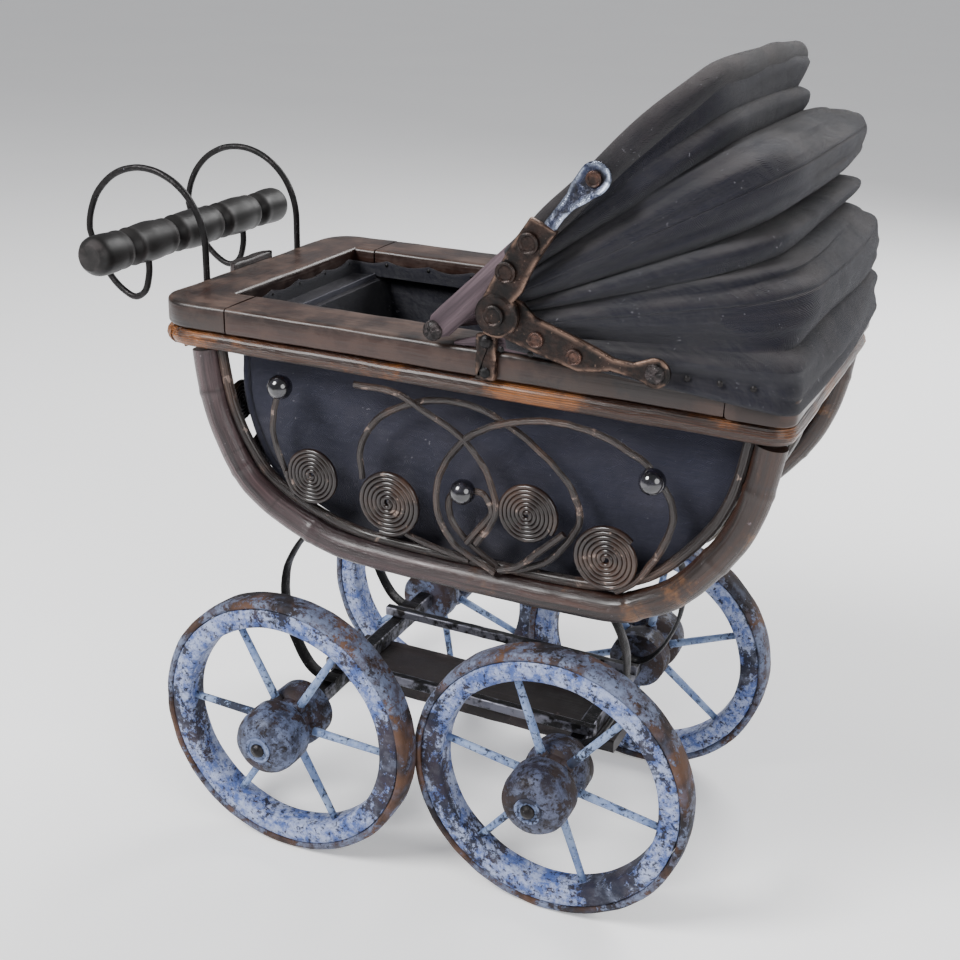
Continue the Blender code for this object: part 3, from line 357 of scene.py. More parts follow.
class Net:
    """Short calls for adding and linking the nodes of a tree."""

    def __init__(self, tree):
        self.tree = tree

    def add(self, kind, feeds=None, **settings):
        node = self.tree.nodes.new(kind)
        for key, value in settings.items():
            setattr(node, key, value)
        for key, value in (feeds or {}).items():
            self.feed(node.inputs[key], value)
        return node

    def feed(self, socket, value):
        if isinstance(value, bpy.types.NodeSocket):
            self.tree.links.new(value, socket)
        else:
            socket.default_value = value

    def math(self, how, a, b=0.0):
        return self.add("ShaderNodeMath", {0: a, 1: b}, operation=how).outputs[0]

    def times(self, a, b):
        return self.math("MULTIPLY", a, b)

    def plus(self, a, b):
        return self.math("ADD", a, b)

    def minus(self, a, b):
        return self.math("SUBTRACT", a, b)

    def mix(self, share, a, b):
        return self.add("ShaderNodeMix", {0: share, 6: a, 7: b}, data_type="RGBA").outputs[2]

    def lay(self, colour, mask, share, over):
        """A colour with another laid over it by a share of a mask."""
        return self.mix(self.times(mask, share), colour, over)

    def ramp(self, value, low, high):
        """0 below low and 1 above high, smooth between."""
        node = self.add("ShaderNodeMapRange", {0: value, 1: low, 2: high}, interpolation_type="SMOOTHSTEP")
        return node.outputs[0]

    def step(self, value, level, below, above):
        """0 to 1 as a value passes a level."""
        return self.ramp(value, self.minus(level, below), self.plus(level, above))

    def noise(self, place, size, detail, rough=0.5, stretch=0.0):
        feeds = {"Vector": place, "Scale": size, "Detail": detail, "Roughness": rough, "Distortion": stretch}
        return self.add("ShaderNodeTexNoise", feeds).outputs[0]

    def apart(self, vector):
        """A vector's three coordinates."""
        return self.add("ShaderNodeSeparateXYZ", {0: vector}).outputs

    def group(self, tree, **feeds):
        node = self.tree.nodes.new("ShaderNodeGroup")
        node.node_tree = tree
        for key, value in feeds.items():
            self.feed(node.inputs[key.replace("_", " ")], value)
        return node.outputs


def shader_group(name, sockets, outputs):
    """An empty shader group with named inputs (kind, default) and outputs."""
    tree = bpy.data.node_groups.new(name, "ShaderNodeTree")
    for label, (kind, value) in sockets.items():
        socket = tree.interface.new_socket(label, in_out="INPUT", socket_type=kind)
        if value is not None:
            socket.default_value = value
    for label, kind in outputs.items():
        tree.interface.new_socket(label, in_out="OUTPUT", socket_type=kind)
    net = Net(tree)
    return tree, net, net.add("NodeGroupInput").outputs, net.add("NodeGroupOutput").inputs


FLOAT = "NodeSocketFloat"
VECTOR = "NodeSocketVector"


def flaking_group():
    """Where paint has flaked: broad patches with small specks round them."""
    tree, net, given, out = shader_group(
        "flaking",
        {"Place": (VECTOR, None), "Size": (FLOAT, 60.0), "Bare": (FLOAT, 0.4), "Specks": (FLOAT, 0.4)},
        {"Mask": FLOAT})
    broad = net.noise(given["Place"], given["Size"], 6.0, 0.72, 0.3)
    small = net.noise(given["Place"], net.times(given["Size"], 7.0), 3.0, 0.6)
    level = net.minus(0.80, net.times(given["Bare"], 0.6))
    patch = net.step(broad, level, 0.012, 0.012)
    speck_level = net.minus(0.86, net.times(given["Specks"], 0.42))
    specks = net.step(small, speck_level, 0.02, 0.02)
    net.feed(out["Mask"], net.math("MAXIMUM", patch, specks))
    return tree


def grain_group():
    """Long streaks that run along a piece."""
    tree, net, given, out = shader_group(
        "grain", {"Run": (VECTOR, None), "Fine": (FLOAT, 900.0), "Long": (FLOAT, 0.03)},
        {"Streaks": FLOAT, "Bands": FLOAT})
    parts = net.apart(given["Run"])
    along = net.times(parts[0], given["Long"])
    pulled = net.add("ShaderNodeCombineXYZ", {0: along, 1: parts[1], 2: parts[2]}).outputs[0]
    fine = net.noise(pulled, given["Fine"], 5.0, 0.65)
    broad = net.noise(pulled, net.times(given["Fine"], 0.22), 3.0, stretch=0.6)
    net.feed(out["Streaks"], net.ramp(fine, 0.34, 0.66))
    net.feed(out["Bands"], net.ramp(broad, 0.32, 0.68))
    return tree


def twill_group():
    """A fine twill: slanted ribs crossed by single threads, with uneven yarns."""
    tree, net, given, out = shader_group(
        "twill", {"Run": (VECTOR, None), "Threads": (FLOAT, 1500.0)}, {"Height": FLOAT, "Yarn": FLOAT})
    parts = net.apart(given["Run"])
    slip = net.noise(given["Run"], 260.0, 2.0)
    waver = net.times(slip, 0.0016)
    u = net.times(net.plus(parts[0], waver), given["Threads"])
    v = net.times(net.plus(parts[1], waver), given["Threads"])
    rib = net.math("SINE", net.times(net.plus(u, v), 2.2))
    cross = net.math("SINE", net.times(net.minus(u, net.times(v, 0.35)), 4.4))
    height = net.plus(net.times(rib, 0.34), net.times(cross, 0.16))
    net.feed(out["Height"], net.plus(height, 0.5))
    yarns = net.add("ShaderNodeCombineXYZ", {0: net.times(u, 0.02), 1: net.times(v, 0.6)})
    tones = net.noise(yarns.outputs[0], 1.0, 2.0)
    net.feed(out["Yarn"], net.ramp(tones, 0.3, 0.7))
    return tree


def dust_and_top_light_group():
    """Pale dust on upward faces, in clouds, which also paints the paler top light that falls on upward faces.
    """
    tree, net, given, out = shader_group(
        "dust_and_top_light", {"Place": (VECTOR, None), "Facing": (VECTOR, None), "Size": (FLOAT, 40.0)}, {"Mask": FLOAT})
    up = net.apart(given["Facing"])[2]
    cloud = net.noise(given["Place"], given["Size"], 6.0, 0.65)
    lying = net.ramp(up, 0.05, 0.95)
    net.feed(out["Mask"], net.times(lying, net.ramp(cloud, 0.36, 0.66)))
    return tree


FLAKING = flaking_group()
GRAIN = grain_group()
TWILL = twill_group()
DUST_AND_TOP_LIGHT = dust_and_top_light_group()


class Look:
    """A material with its Principled shader and the coordinates that its patterns read."""

    def __init__(self, name, **constants):
        self.material = bpy.data.materials.new(name)
        self.material.use_nodes = True
        self.net = Net(self.material.node_tree)
        self.shader = next(n for n in self.material.node_tree.nodes if n.type == "BSDF_PRINCIPLED")
        for key, value in constants.items():
            self.shader.inputs[key.replace("_", " ")].default_value = value
        spot = self.net.add("ShaderNodeTexCoord")
        self.place = spot.outputs["Object"]
        self.facing = spot.outputs["Normal"]

    def run(self):
        return self.net.add("ShaderNodeUVMap", uv_map="run").outputs[0]

    def edge(self):
        return self.net.add("ShaderNodeAttribute", attribute_name="edge").outputs["Fac"]

    def noise(self, size, detail=4.0, rough=0.6, stretch=0.0):
        return self.net.noise(self.place, size, detail, rough, stretch)

    def finish(self, colour, rough, height=None, depth=0.0003, metal=None):
        """Feed the shader; height is a bump of the given depth in metres."""
        feeds = {"Base Color": colour, "Roughness": rough}
        if metal is not None:
            feeds["Metallic"] = metal
        if height is not None:
            bump = self.net.add("ShaderNodeBump", {"Height": height, "Distance": depth, "Strength": 1.0})
            feeds["Normal"] = bump.outputs[0]
        for label, value in feeds.items():
            self.net.feed(self.shader.inputs[label], value)
        return self.material


# ---------------------------------------------------------------- materials
def canvas_look(name, valley, ridge, dust_and_top_light_tone, threads=6200.0, dust_and_top_light_share=0.6, lint=0.25):
    """Old navy twill, browner and paler where it has rubbed, with dust and painted top light on upward faces,
    painted shade in the weave's valleys, and lint.
    """
    look = Look(name, Sheen_Weight=0.12, Sheen_Roughness=0.5, Specular_IOR_Level=0.2)
    net = look.net
    weave = net.group(TWILL, Run=look.run(), Threads=threads)
    rubbed = net.ramp(look.noise(26.0, 6.0, 0.7), 0.40, 0.68)
    # Dust and painted top light: upward faces are laid paler, in clouds.
    dust_and_top_light = net.group(DUST_AND_TOP_LIGHT, Place=look.place, Facing=look.facing, Size=45.0)[0]
    colour = net.mix(rubbed, valley, ridge)
    colour = net.lay(colour, dust_and_top_light, dust_and_top_light_share, dust_and_top_light_tone)
    colour = net.lay(colour, weave["Yarn"], 0.35, net.mix(0.5, colour, dust_and_top_light_tone))
    # Painted shade: where the weave is low, the colour is darkened towards near-black, as shade in the
    # valleys between the ribs.
    colour = net.mix(net.ramp(weave["Height"], 0.2, 0.8), net.mix(0.55, colour, tone(12, 13, 20)), colour)
    fluff = net.ramp(look.noise(520.0, 2.0, 0.5, stretch=1.5), 0.74 - lint * 0.12, 0.78 - lint * 0.10)
    colour = net.lay(colour, fluff, 0.5, tone(140, 138, 146))
    rough = net.plus(0.80, net.times(rubbed, 0.12))
    height = net.plus(weave["Height"], net.times(look.noise(160.0, 4.0), 1.2))
    return look.finish(colour, rough, height, 0.00022)


def paint_look(name, paint, second, under, heavy=0.5, brown=None, rough=0.55, size=24.0):
    """Old milk paint: mottled, speckled black, streaked along the turning and worn through in patches."""
    look = Look(name, Specular_IOR_Level=0.3)
    net = look.net
    grain = net.group(GRAIN, Run=look.run(), Fine=900.0, Long=0.12)
    cloud = net.ramp(look.noise(150.0, 7.0, 0.8), 0.40, 0.60)
    colour = net.mix(cloud, paint, second)
    dirt = net.ramp(look.noise(size, 4.0, 0.6, stretch=0.4), 0.60 - 0.20 * heavy, 0.74 - 0.18 * heavy)
    fine = look.noise(620.0, 4.0, 0.75)
    level = net.minus(0.595, net.times(dirt, 0.12 + 0.09 * heavy))
    specks = net.step(fine, level, 0.035, 0.035)
    middle_specks = net.step(look.noise(240.0, 5.0, 0.7), level, 0.02, 0.05)
    streaks = net.times(net.ramp(grain["Streaks"], 0.45, 0.9), net.plus(0.18, dirt))
    mask = net.math("MINIMUM", 1.0, net.plus(net.math("MAXIMUM", specks, middle_specks),
                                             net.times(streaks, 0.55)))
    bare = net.mix(net.ramp(look.noise(45.0, 5.0), 0.42, 0.62), under, brown or under)
    colour = net.lay(colour, mask, 0.92, bare)
    glaze = net.ramp(look.noise(150.0, 4.0), 0.5, 0.75)
    colour = net.lay(colour, glaze, 0.25, second)
    shine = net.plus(rough, net.times(mask, 0.2))
    height = net.minus(net.times(grain["Streaks"], 0.3), mask)
    return look.finish(colour, shine, height, 0.00016)


def wood_look(name, dark, light, worn, fine=700.0, rough=0.45, edge_wear=0.6, top_dust_and_light=0.0, chips=0.25,
              coat=0.3):
    """Varnished wood with grain along the piece, rubbed pale at its edges and chipped."""
    look = Look(name, Coat_Weight=coat, Coat_Roughness=0.3, Specular_IOR_Level=0.3)
    net = look.net
    grain = net.group(GRAIN, Run=look.run(), Fine=fine, Long=0.05)
    colour = net.mix(grain["Bands"], dark, light)
    colour = net.lay(colour, grain["Streaks"], 0.45, net.mix(0.6, colour, tone(20, 14, 14)))
    rub = net.times(look.edge(), net.ramp(look.noise(85.0, 6.0, 0.7), 0.44, 0.62))
    colour = net.lay(colour, rub, edge_wear, worn)
    # Dust and painted top light: upward faces are laid paler and greyer, in clouds.
    dust_and_top_light = net.group(DUST_AND_TOP_LIGHT, Place=look.place, Facing=look.facing, Size=60.0)[0]
    greyed = net.mix(grain["Streaks"], worn, net.mix(0.5, worn, dark))
    colour = net.lay(colour, dust_and_top_light, top_dust_and_light, greyed)
    flakes = net.group(FLAKING, Place=look.place, Size=110.0, Bare=chips, Specks=chips)
    colour = net.lay(colour, flakes["Mask"], 0.7, worn)
    shine = net.plus(rough, net.times(net.math("MAXIMUM", rub, dust_and_top_light), 0.25))
    height = net.minus(net.times(grain["Streaks"], -0.5), flakes["Mask"])
    return look.finish(colour, shine, height, 0.00018)


def rattan_look():
    """The bent poles: purple-grey at the push-bar end, glossy brown with painted gold highlights at the hood
    end.
    """
    look = Look("side_pole_rattan", Coat_Weight=0.25, Coat_Roughness=0.25, Specular_IOR_Level=0.4)
    net = look.net
    x = net.apart(look.place)[0]
    warm = net.ramp(x, MIDDLE_X - 0.05, MIDDLE_X + 0.09)
    grain = net.group(GRAIN, Run=look.run(), Fine=1100.0, Long=0.04)
    brown = net.mix(grain["Bands"], tone(20, 10, 7), tone(56, 31, 18))
    grey = net.mix(grain["Bands"], tone(34, 24, 26), tone(84, 64, 66))
    colour = net.mix(warm, grey, brown)
    # Painted highlights: gold patches laid on the glossy brown hood end.
    painted_gold_highlight = net.ramp(look.noise(55.0, 5.0, 0.7), 0.56, 0.70)
    colour = net.mix(net.times(painted_gold_highlight, net.times(warm, 0.55)), colour, tone(132, 88, 48))
    colour = net.lay(colour, grain["Streaks"], 0.5, tone(16, 10, 10))
    flakes = net.group(FLAKING, Place=look.place, Size=130.0, Bare=0.20, Specks=0.34)
    colour = net.lay(colour, flakes["Mask"], 0.6, tone(128, 116, 122))
    colour = net.lay(colour, look.edge(), 0.8, tone(30, 20, 20))
    rough = net.plus(0.34, net.times(flakes["Mask"], 0.3))
    return look.finish(colour, rough, net.minus(grain["Streaks"], flakes["Mask"]), 0.00014)


def cane_look(name, dark, light, gleam, fine=2200.0, coat=0.6, chips=0.3):
    """Split cane: fine lengthwise strands under shellac, with painted highlights in bright patches and
    painted shade between the strands.
    """
    look = Look(name, Coat_Weight=coat, Coat_Roughness=0.18, Specular_IOR_Level=0.4)
    net = look.net
    grain = net.group(GRAIN, Run=look.run(), Fine=fine, Long=0.01)
    parts = net.apart(look.run())
    strand = net.math("SINE", net.times(parts[1], fine * 3.1))
    strand = net.ramp(strand, -0.7, 0.9)
    colour = net.mix(grain["Bands"], dark, light)
    # Painted highlights: patches of the gleam tone laid into the colour.
    painted_highlight_patches = net.ramp(look.noise(42.0, 5.0, 0.65), 0.46, 0.64)
    colour = net.lay(colour, painted_highlight_patches, 0.85, gleam)
    # Painted shade: the gaps between the strands are darkened towards near-black.
    colour = net.mix(net.times(strand, 0.5), net.mix(0.7, colour, tone(22, 12, 10)), colour)
    flakes = net.group(FLAKING, Place=look.place, Size=170.0, Bare=chips, Specks=chips)
    colour = net.lay(colour, flakes["Mask"], 0.6, tone(142, 122, 112))
    return look.finish(colour, net.plus(0.3, net.times(flakes["Mask"], 0.3)),
                       net.plus(strand, grain["Streaks"]), 0.00012)


def iron_look(name, dark, worn, bright, size=160.0, gleam=0.3, rough=0.42):
    """Hand-worked iron, dark in its pits, rubbed on its edges, with pale specks."""
    look = Look(name)
    net = look.net
    cloud = net.ramp(look.noise(size, 6.0, 0.7), 0.38, 0.66)
    colour = net.mix(cloud, dark, worn)
    specks = net.ramp(look.noise(950.0, 2.0, 0.5), 0.70, 0.76)
    colour = net.lay(colour, specks, 0.7, bright)
    rub = net.times(look.edge(), net.ramp(look.noise(210.0, 4.0), 0.40, 0.58))
    colour = net.mix(rub, colour, bright)
    metal = net.plus(0.55, net.times(rub, gleam))
    shine = net.minus(rough + 0.12, net.times(cloud, 0.22))
    return look.finish(colour, shine, net.plus(cloud, look.noise(700.0, 3.0)), 0.00012, metal=metal)


def bead_look():
    look = Look("black_bead_glass", Coat_Weight=1.0, Coat_Roughness=0.06)
    cloud = look.net.ramp(look.noise(300.0), 0.4, 0.7)
    colour = look.net.mix(cloud, tone(8, 8, 12), tone(30, 28, 38))
    return look.finish(colour, look.net.plus(0.12, look.net.times(cloud, 0.18)))


def floor_look():
    look = Look("studio_floor")
    colour = look.net.mix(look.net.ramp(look.noise(3.0), 0.3, 0.7), tone(246, 246, 247), tone(250, 250, 250))
    look.shader.inputs["Emission Color"].default_value = (1.0, 1.0, 1.0, 1.0)
    look.shader.inputs["Emission Strength"].default_value = 0.22
    return look.finish(colour, 0.85)


HOOD_CANVAS = canvas_look("hood_canvas", tone(12, 14, 32), tone(31, 30, 38), tone(74, 68, 68))
HEM_CANVAS = canvas_look("hood_hem_canvas", tone(20, 19, 27), tone(44, 39, 40), tone(88, 80, 80))
TUB_CANVAS = canvas_look("tub_canvas", tone(34, 36, 54), tone(58, 57, 70), tone(84, 82, 92), 5200.0, 0.4, 0.1)
LINING_CANVAS = canvas_look("lining_canvas", tone(14, 16, 32), tone(30, 30, 44), tone(60, 56, 62))
FACE_PAINT = paint_look("wheel_face_paint", tone(66, 86, 142), tone(150, 160, 190), tone(17, 14, 18), 0.5,
                        tone(42, 30, 28), 0.5, 17.0)
SPOKE_PAINT = paint_look("spoke_paint", tone(134, 152, 184), tone(100, 120, 162), tone(22, 20, 28), 0.2)
TYRE_WOOD = paint_look("tyre_worn_wood", tone(62, 58, 68), tone(100, 110, 136), tone(24, 17, 16), 0.75,
                       tone(84, 58, 40), 0.6, 34.0)
HUB_BLUE = paint_look("hub_blue_paint", tone(42, 44, 58), tone(92, 102, 130), tone(20, 15, 17), 0.65,
                      tone(46, 30, 24), 0.5, 90.0)
HUB_DARK = paint_look("hub_dark_paint", tone(34, 30, 38), tone(78, 84, 106), tone(16, 12, 14), 0.75,
                      tone(44, 32, 28), 0.5, 90.0)
HUB_RING = paint_look("hub_ring_paint", tone(120, 134, 166), tone(92, 104, 136), tone(24, 20, 26), 0.3)
# The rim boards' tops are laid paler by dust and painted top light, so their sides stay darker.
RIM_WOOD = wood_look("rim_board_wood", tone(13, 6, 5), tone(52, 29, 20), tone(104, 82, 71), 420.0, 0.34,
                     0.14, 0.6, 0.10, 0.35)
PLANK_WOOD = wood_look("undercarriage_wood", tone(14, 9, 9), tone(30, 20, 18), tone(74, 64, 64), 500.0, 0.6)
BOW_WOOD = wood_look("hood_bow_wood", tone(58, 46, 52), tone(98, 82, 88), tone(140, 128, 134), 1400.0, 0.6,
                     0.4, 0.1, 0.12, 0.0)
BAR_WOOD = wood_look("push_bar_wood", tone(5, 4, 4), tone(17, 13, 11), tone(66, 60, 60), 800.0, 0.5, 0.5,
                     0.05, 0.10, 0.08)
RATTAN = rattan_look()
# The third tone of each cane look is the colour of its painted highlights.
BAND_CANE = cane_look("rim_cane", tone(30, 15, 8), tone(84, 46, 20), tone(172, 104, 44), 2600.0, 0.25, 0.08)
SCROLL_CANE = cane_look("scroll_cane", tone(12, 8, 7), tone(40, 28, 24), tone(84, 62, 50), 2400.0, 0.3, 0.3)
RIB_CANE = cane_look("end_rib_cane", tone(14, 11, 8), tone(38, 31, 22), tone(80, 66, 44), 2400.0, 0.3, 0.15)
BLACK_IRON = iron_look("black_iron", tone(7, 6, 7), tone(24, 20, 21), tone(120, 120, 130))
BRONZE_IRON = iron_look("bronze_iron", tone(12, 8, 7), tone(44, 29, 23), tone(120, 98, 86), 140.0, 0.4, 0.36)
BRIGHT_STEEL = iron_look("bright_steel", tone(18, 17, 24), tone(52, 58, 80), tone(172, 182, 204), 190.0,
                         0.4, 0.26)
SCREW_IRON = iron_look("screw_iron", tone(16, 13, 13), tone(66, 58, 58), tone(180, 172, 170), 420.0, 0.4, 0.3)
COPPER = iron_look("copper_rivet", tone(34, 24, 21), tone(84, 58, 48), tone(158, 132, 116), 300.0, 0.4, 0.3)
BEAD = bead_look()


# ---------------------------------------------------------------- geometry node trees
def geometry_group(name, sockets):
    tree = bpy.data.node_groups.new(name, "GeometryNodeTree")
    tree.interface.new_socket("Geometry", in_out="INPUT", socket_type="NodeSocketGeometry")
    for label, (kind, value) in sockets.items():
        socket = tree.interface.new_socket(label, in_out="INPUT", socket_type=kind)
        if value is not None:
            socket.default_value = value
    tree.interface.new_socket("Geometry", in_out="OUTPUT", socket_type="NodeSocketGeometry")
    net = Net(tree)
    return tree, net, net.add("NodeGroupInput").outputs, net.add("NodeGroupOutput").inputs


SPOT_VALUES = (("aim", "FLOAT_VECTOR"), ("size", "FLOAT"), ("twist", "FLOAT"))


def end_tree(net, given, out, instances):
    """Close a tree: instances made real, one material on the lot."""
    real = net.add("GeometryNodeRealizeInstances", {0: instances}).outputs[0]
    net.feed(out["Geometry"], net.add("GeometryNodeSetMaterial", {0: real, 2: given["Material"]}).outputs[0])


def spoke_tree():
    """Round spokes set in a ring: a tapered rod on each point of a circle in the wheel's plane."""
    tree, net, given, out = geometry_group("spoke_ring", {
        "Count": ("NodeSocketInt", 6), "Inner": (FLOAT, 0.01), "Outer": (FLOAT, 0.04),
        "Root": (FLOAT, 0.0016), "Tip": (FLOAT, 0.0013), "Material": ("NodeSocketMaterial", None)})
    reach = net.minus(given["Outer"], given["Inner"])
    centre = net.times(net.plus(given["Outer"], given["Inner"]), 0.5)
    ring = net.add("GeometryNodeMeshCircle", {"Vertices": given["Count"], "Radius": centre}).outputs[0]
    rod = net.add("GeometryNodeMeshCone", {"Vertices": 20, "Side Segments": 6, "Radius Top": given["Tip"],
                                           "Radius Bottom": given["Root"], "Depth": reach}).outputs[0]
    half = net.times(reach, -0.5)
    down = net.add("ShaderNodeCombineXYZ", {2: half}).outputs[0]
    rod = net.add("GeometryNodeTransform", {"Geometry": rod, "Translation": down}).outputs[0]
    smooth = net.add("GeometryNodeSetShadeSmooth", {0: rod}).outputs[0]
    place = net.add("GeometryNodeInputPosition").outputs[0]
    aim = net.add("FunctionNodeAlignRotationToVector", {"Vector": place}, axis="Z").outputs[0]
    rods = net.add("GeometryNodeInstanceOnPoints", {"Points": ring, "Instance": smooth, "Rotation": aim})
    end_tree(net, given, out, rods.outputs[0])
    return tree


COIL_RADIUS = 0.0100


def coil_tree():
    """Flat wound cane: a spiral of wire on each point, turned by its aim and sized by its size."""
    tree, net, given, out = geometry_group("wound_coil", {
        "Turns": (FLOAT, 6.5), "Wire": (FLOAT, 0.0011), "Flatness": (FLOAT, 0.8),
        "Material": ("NodeSocketMaterial", None)})
    spiral = net.add("GeometryNodeCurveSpiral", {
        "Resolution": 26, "Rotations": given["Turns"], "Start Radius": 0.0007, "End Radius": COIL_RADIUS,
        "Height": 0.0}).outputs[0]
    section = net.add("GeometryNodeCurvePrimitiveCircle", {"Resolution": 7, "Radius": given["Wire"]},
                      mode="RADIUS").outputs[0]
    wire = net.add("GeometryNodeCurveToMesh",
                   {"Curve": spiral, "Profile Curve": section, "Fill Caps": True}).outputs[0]
    flat = net.add("ShaderNodeCombineXYZ", {0: 1.0, 1: 1.0, 2: given["Flatness"]}).outputs[0]
    wire = net.add("GeometryNodeTransform", {"Geometry": wire, "Scale": flat}).outputs[0]
    wire = net.add("GeometryNodeSetShadeSmooth", {0: wire}).outputs[0]
    scatter(net, given, out, wire)
    return tree


def scatter(net, given, out, shape):
    """Stand a shape on every point, turned from +Z to the point's aim and sized by the point's size."""
    aim, size, twist = (net.add("GeometryNodeInputNamedAttribute", {"Name": name}, data_type=kind).outputs[0]
                        for name, kind in SPOT_VALUES)
    turned = net.add("FunctionNodeAlignRotationToVector", {"Vector": aim}, axis="Z").outputs[0]
    spin = net.add("FunctionNodeAxisAngleToRotation", {"Axis": (0, 0, 1), "Angle": twist}).outputs[0]
    both = net.add("FunctionNodeRotateRotation", {"Rotation": turned, "Rotate By": spin},
                   rotation_space="LOCAL").outputs[0]
    made = net.add("GeometryNodeInstanceOnPoints",
                   {"Points": given["Geometry"], "Instance": shape, "Rotation": both, "Scale": size})
    end_tree(net, given, out, made.outputs[0])


def fastener_tree():
    """A nail, rivet or screw head, modelled once and stood on every point."""
    tree, net, given, out = geometry_group("fasteners", {
        "Head": ("NodeSocketObject", None), "Material": ("NodeSocketMaterial", None)})
    head = net.add("GeometryNodeObjectInfo", {"Object": given["Head"], "As Instance": True})
    scatter(net, given, out, head.outputs["Geometry"])
    return tree


SPOKE_TREE = spoke_tree()
COIL_TREE = coil_tree()
FASTENER_TREE = fastener_tree()


def grown(name, tree, body, values, spots=None, move=None, hides=()):
    """Run a tree on points (place, aim, size, twist) and stand the plain mesh it makes."""
    data = bpy.data.meshes.new(name)
    spots = spots or [((0, 0, 0), (0, 0, 1), 1.0, 0.0)]
    data.from_pydata([spot[0] for spot in spots], [], [])
    for column, (label, kind) in enumerate(SPOT_VALUES, 1):
        layer = data.attributes.new(label, kind, "POINT")
        for k, spot in enumerate(spots):
            if kind == "FLOAT":
                layer.data[k].value = spot[column]
            else:
                layer.data[k].vector = spot[column]
    maker = placed(name + "_maker", data)
    modifier = maker.modifiers.new("grow", "NODES")
    modifier.node_group = tree
    for item in tree.interface.items_tree:
        if item.in_out == "INPUT" and item.name in values:
            modifier[item.identifier] = values[item.name]
    made = baked(maker)
    made.transform(Matrix.Translation((MIDDLE_X, 0, 0)) @ (move or Matrix()))
    return show(name, made, body, hides)


def heads(name, body, head, look, spots, hides=()):
    """Stand one fastener's head on every spot."""
    return grown(name, FASTENER_TREE, body, {"Head": head, "Material": look}, spots, hides=hides)


def head_object(name, profile, steps, crossed=False):
    """A fastener's head, turned about +Z; a crossed one has a cross sunk into it."""
    shape = Shape().lathe(profile, (-MIDDLE_X, 0, 0), "Z", steps)
    if crossed:
        top = max(along for radius, along in profile)
        for k, p in enumerate(shape.points):
            x, y = p.x + MIDDLE_X, p.y
            reach = math.hypot(x, y)
            if min(abs(x), abs(y)) < 0.00028 and 0.0001 < reach < 0.0016 and p.z > top * 0.6:
                shape.points[k] = Vector((p.x, p.y, p.z - 0.0005))
    return bpy.data.objects.new(name, shape.mesh(name, BLACK_IRON))


# ---------------------------------------------------------------- wheels
def wheel_pieces():
    """Turned felloes with a wooden tyre, hubs with their spokes, for the four wheels."""
    felloe = [(0.0396, 0.0042), (0.0401, 0.0048), (0.0409, 0.0051), (0.0440, 0.0052), (0.0462, 0.0051),
              (0.0468, 0.0046)]
    felloe += [(radius, -out) for radius, out in reversed(felloe)]
    tyre = [(0.0470, 0.0044), (0.0472, 0.0050), (0.0479, 0.0054), (0.0491, 0.0051), (0.0498, 0.0042),
            (0.0500, 0.0016)]
    tyre += [(radius, -out) for radius, out in reversed(tyre)]
    hub = [(0.0022, -0.0130), (0.0104, -0.0130), (0.0112, -0.0123), (0.0115, -0.0060), (0.0112, -0.0036),
           (0.0093, -0.0018), (0.0091, 0.0018), (0.0112, 0.0038), (0.0119, 0.0050), (0.0120, 0.0085),
           (0.0119, 0.0132), (0.0114, 0.0154), (0.0104, 0.0172), (0.0088, 0.0186), (0.0070, 0.0194),
           (0.0056, 0.0197), (0.0040, 0.0196), (0.0022, 0.0196)]
    washer = [(0.0024, 0.0194), (0.0047, 0.0194), (0.0048, 0.0201), (0.0044, 0.0205), (0.0038, 0.0203),
              (0.0036, 0.0199), (0.0024, 0.0198)]
    turns = {"near_handle": 58.5, "near_hood": 51.0, "far_handle": 20.0, "far_hood": 38.0}
    scale = WHEEL_RADIUS / 0.0500
    for side, hand in SIDES.items():
        for end in ENDS:
            wheel = f"{side}_{end}"
            body = f"wheel_{wheel}"
            low, high = box(f"wheel_rim_{wheel}")
            centre = (low + high) / 2
            paint = HUB_BLUE if end == "handle" else HUB_DARK
            rim_node, hub_node = [f"wheel_rim_{wheel}"], [f"wheel_hub_{wheel}"]
            # name, outline, scale, steps, look, wobble, what it replaces, slot
            turned = (
                ("felloe", felloe, scale, 112, FACE_PAINT, (0.00022, 90.0), rim_node, "wheel_paint"),
                ("tyre", tyre, scale, 112, TYRE_WOOD, (0.00028, 130.0, 3.0), [], "wheel_paint"),
                ("hub", hub, 1.0, 56, paint, (0.00016, 160.0), hub_node, "hub_paint"),
                ("hub_washer", washer, 1.0, 40, HUB_RING, (0.0, 1.0), [], "hub_paint"),
            )
            for name, outline, size, steps, look, wave, hides, slot in turned:
                ring = [(radius * size, hand * out) for radius, out in outline + outline[:1]]
                shape = Shape().lathe(ring, centre, steps=steps).wobble(*wave)
                show(f"{name}_{wheel}", shape.mesh(name, look), body, hides)
            angle = turns[wheel] if hand < 0 else 180.0 - turns[wheel]
            stand = (Matrix.Translation(centre) @ Matrix.Rotation(math.pi / 2, 4, "X")
                     @ Matrix.Rotation(math.radians(angle), 4, "Z"))
            for name, inner, outer, root, tip, look, slot in (
                    ("spokes", 0.0085, 0.0400 * scale, 0.0016, 0.0013, SPOKE_PAINT, "wheel_paint"),
                    ("spoke_sockets", 0.0088, 0.0108, 0.0026, 0.0021, HUB_DARK, "hub_paint")):
                values = {"Count": 6, "Inner": inner, "Outer": outer, "Root": root, "Tip": tip,
                          "Material": look}
                grown(f"{name}_{wheel}", SPOKE_TREE, body, values, move=stand)


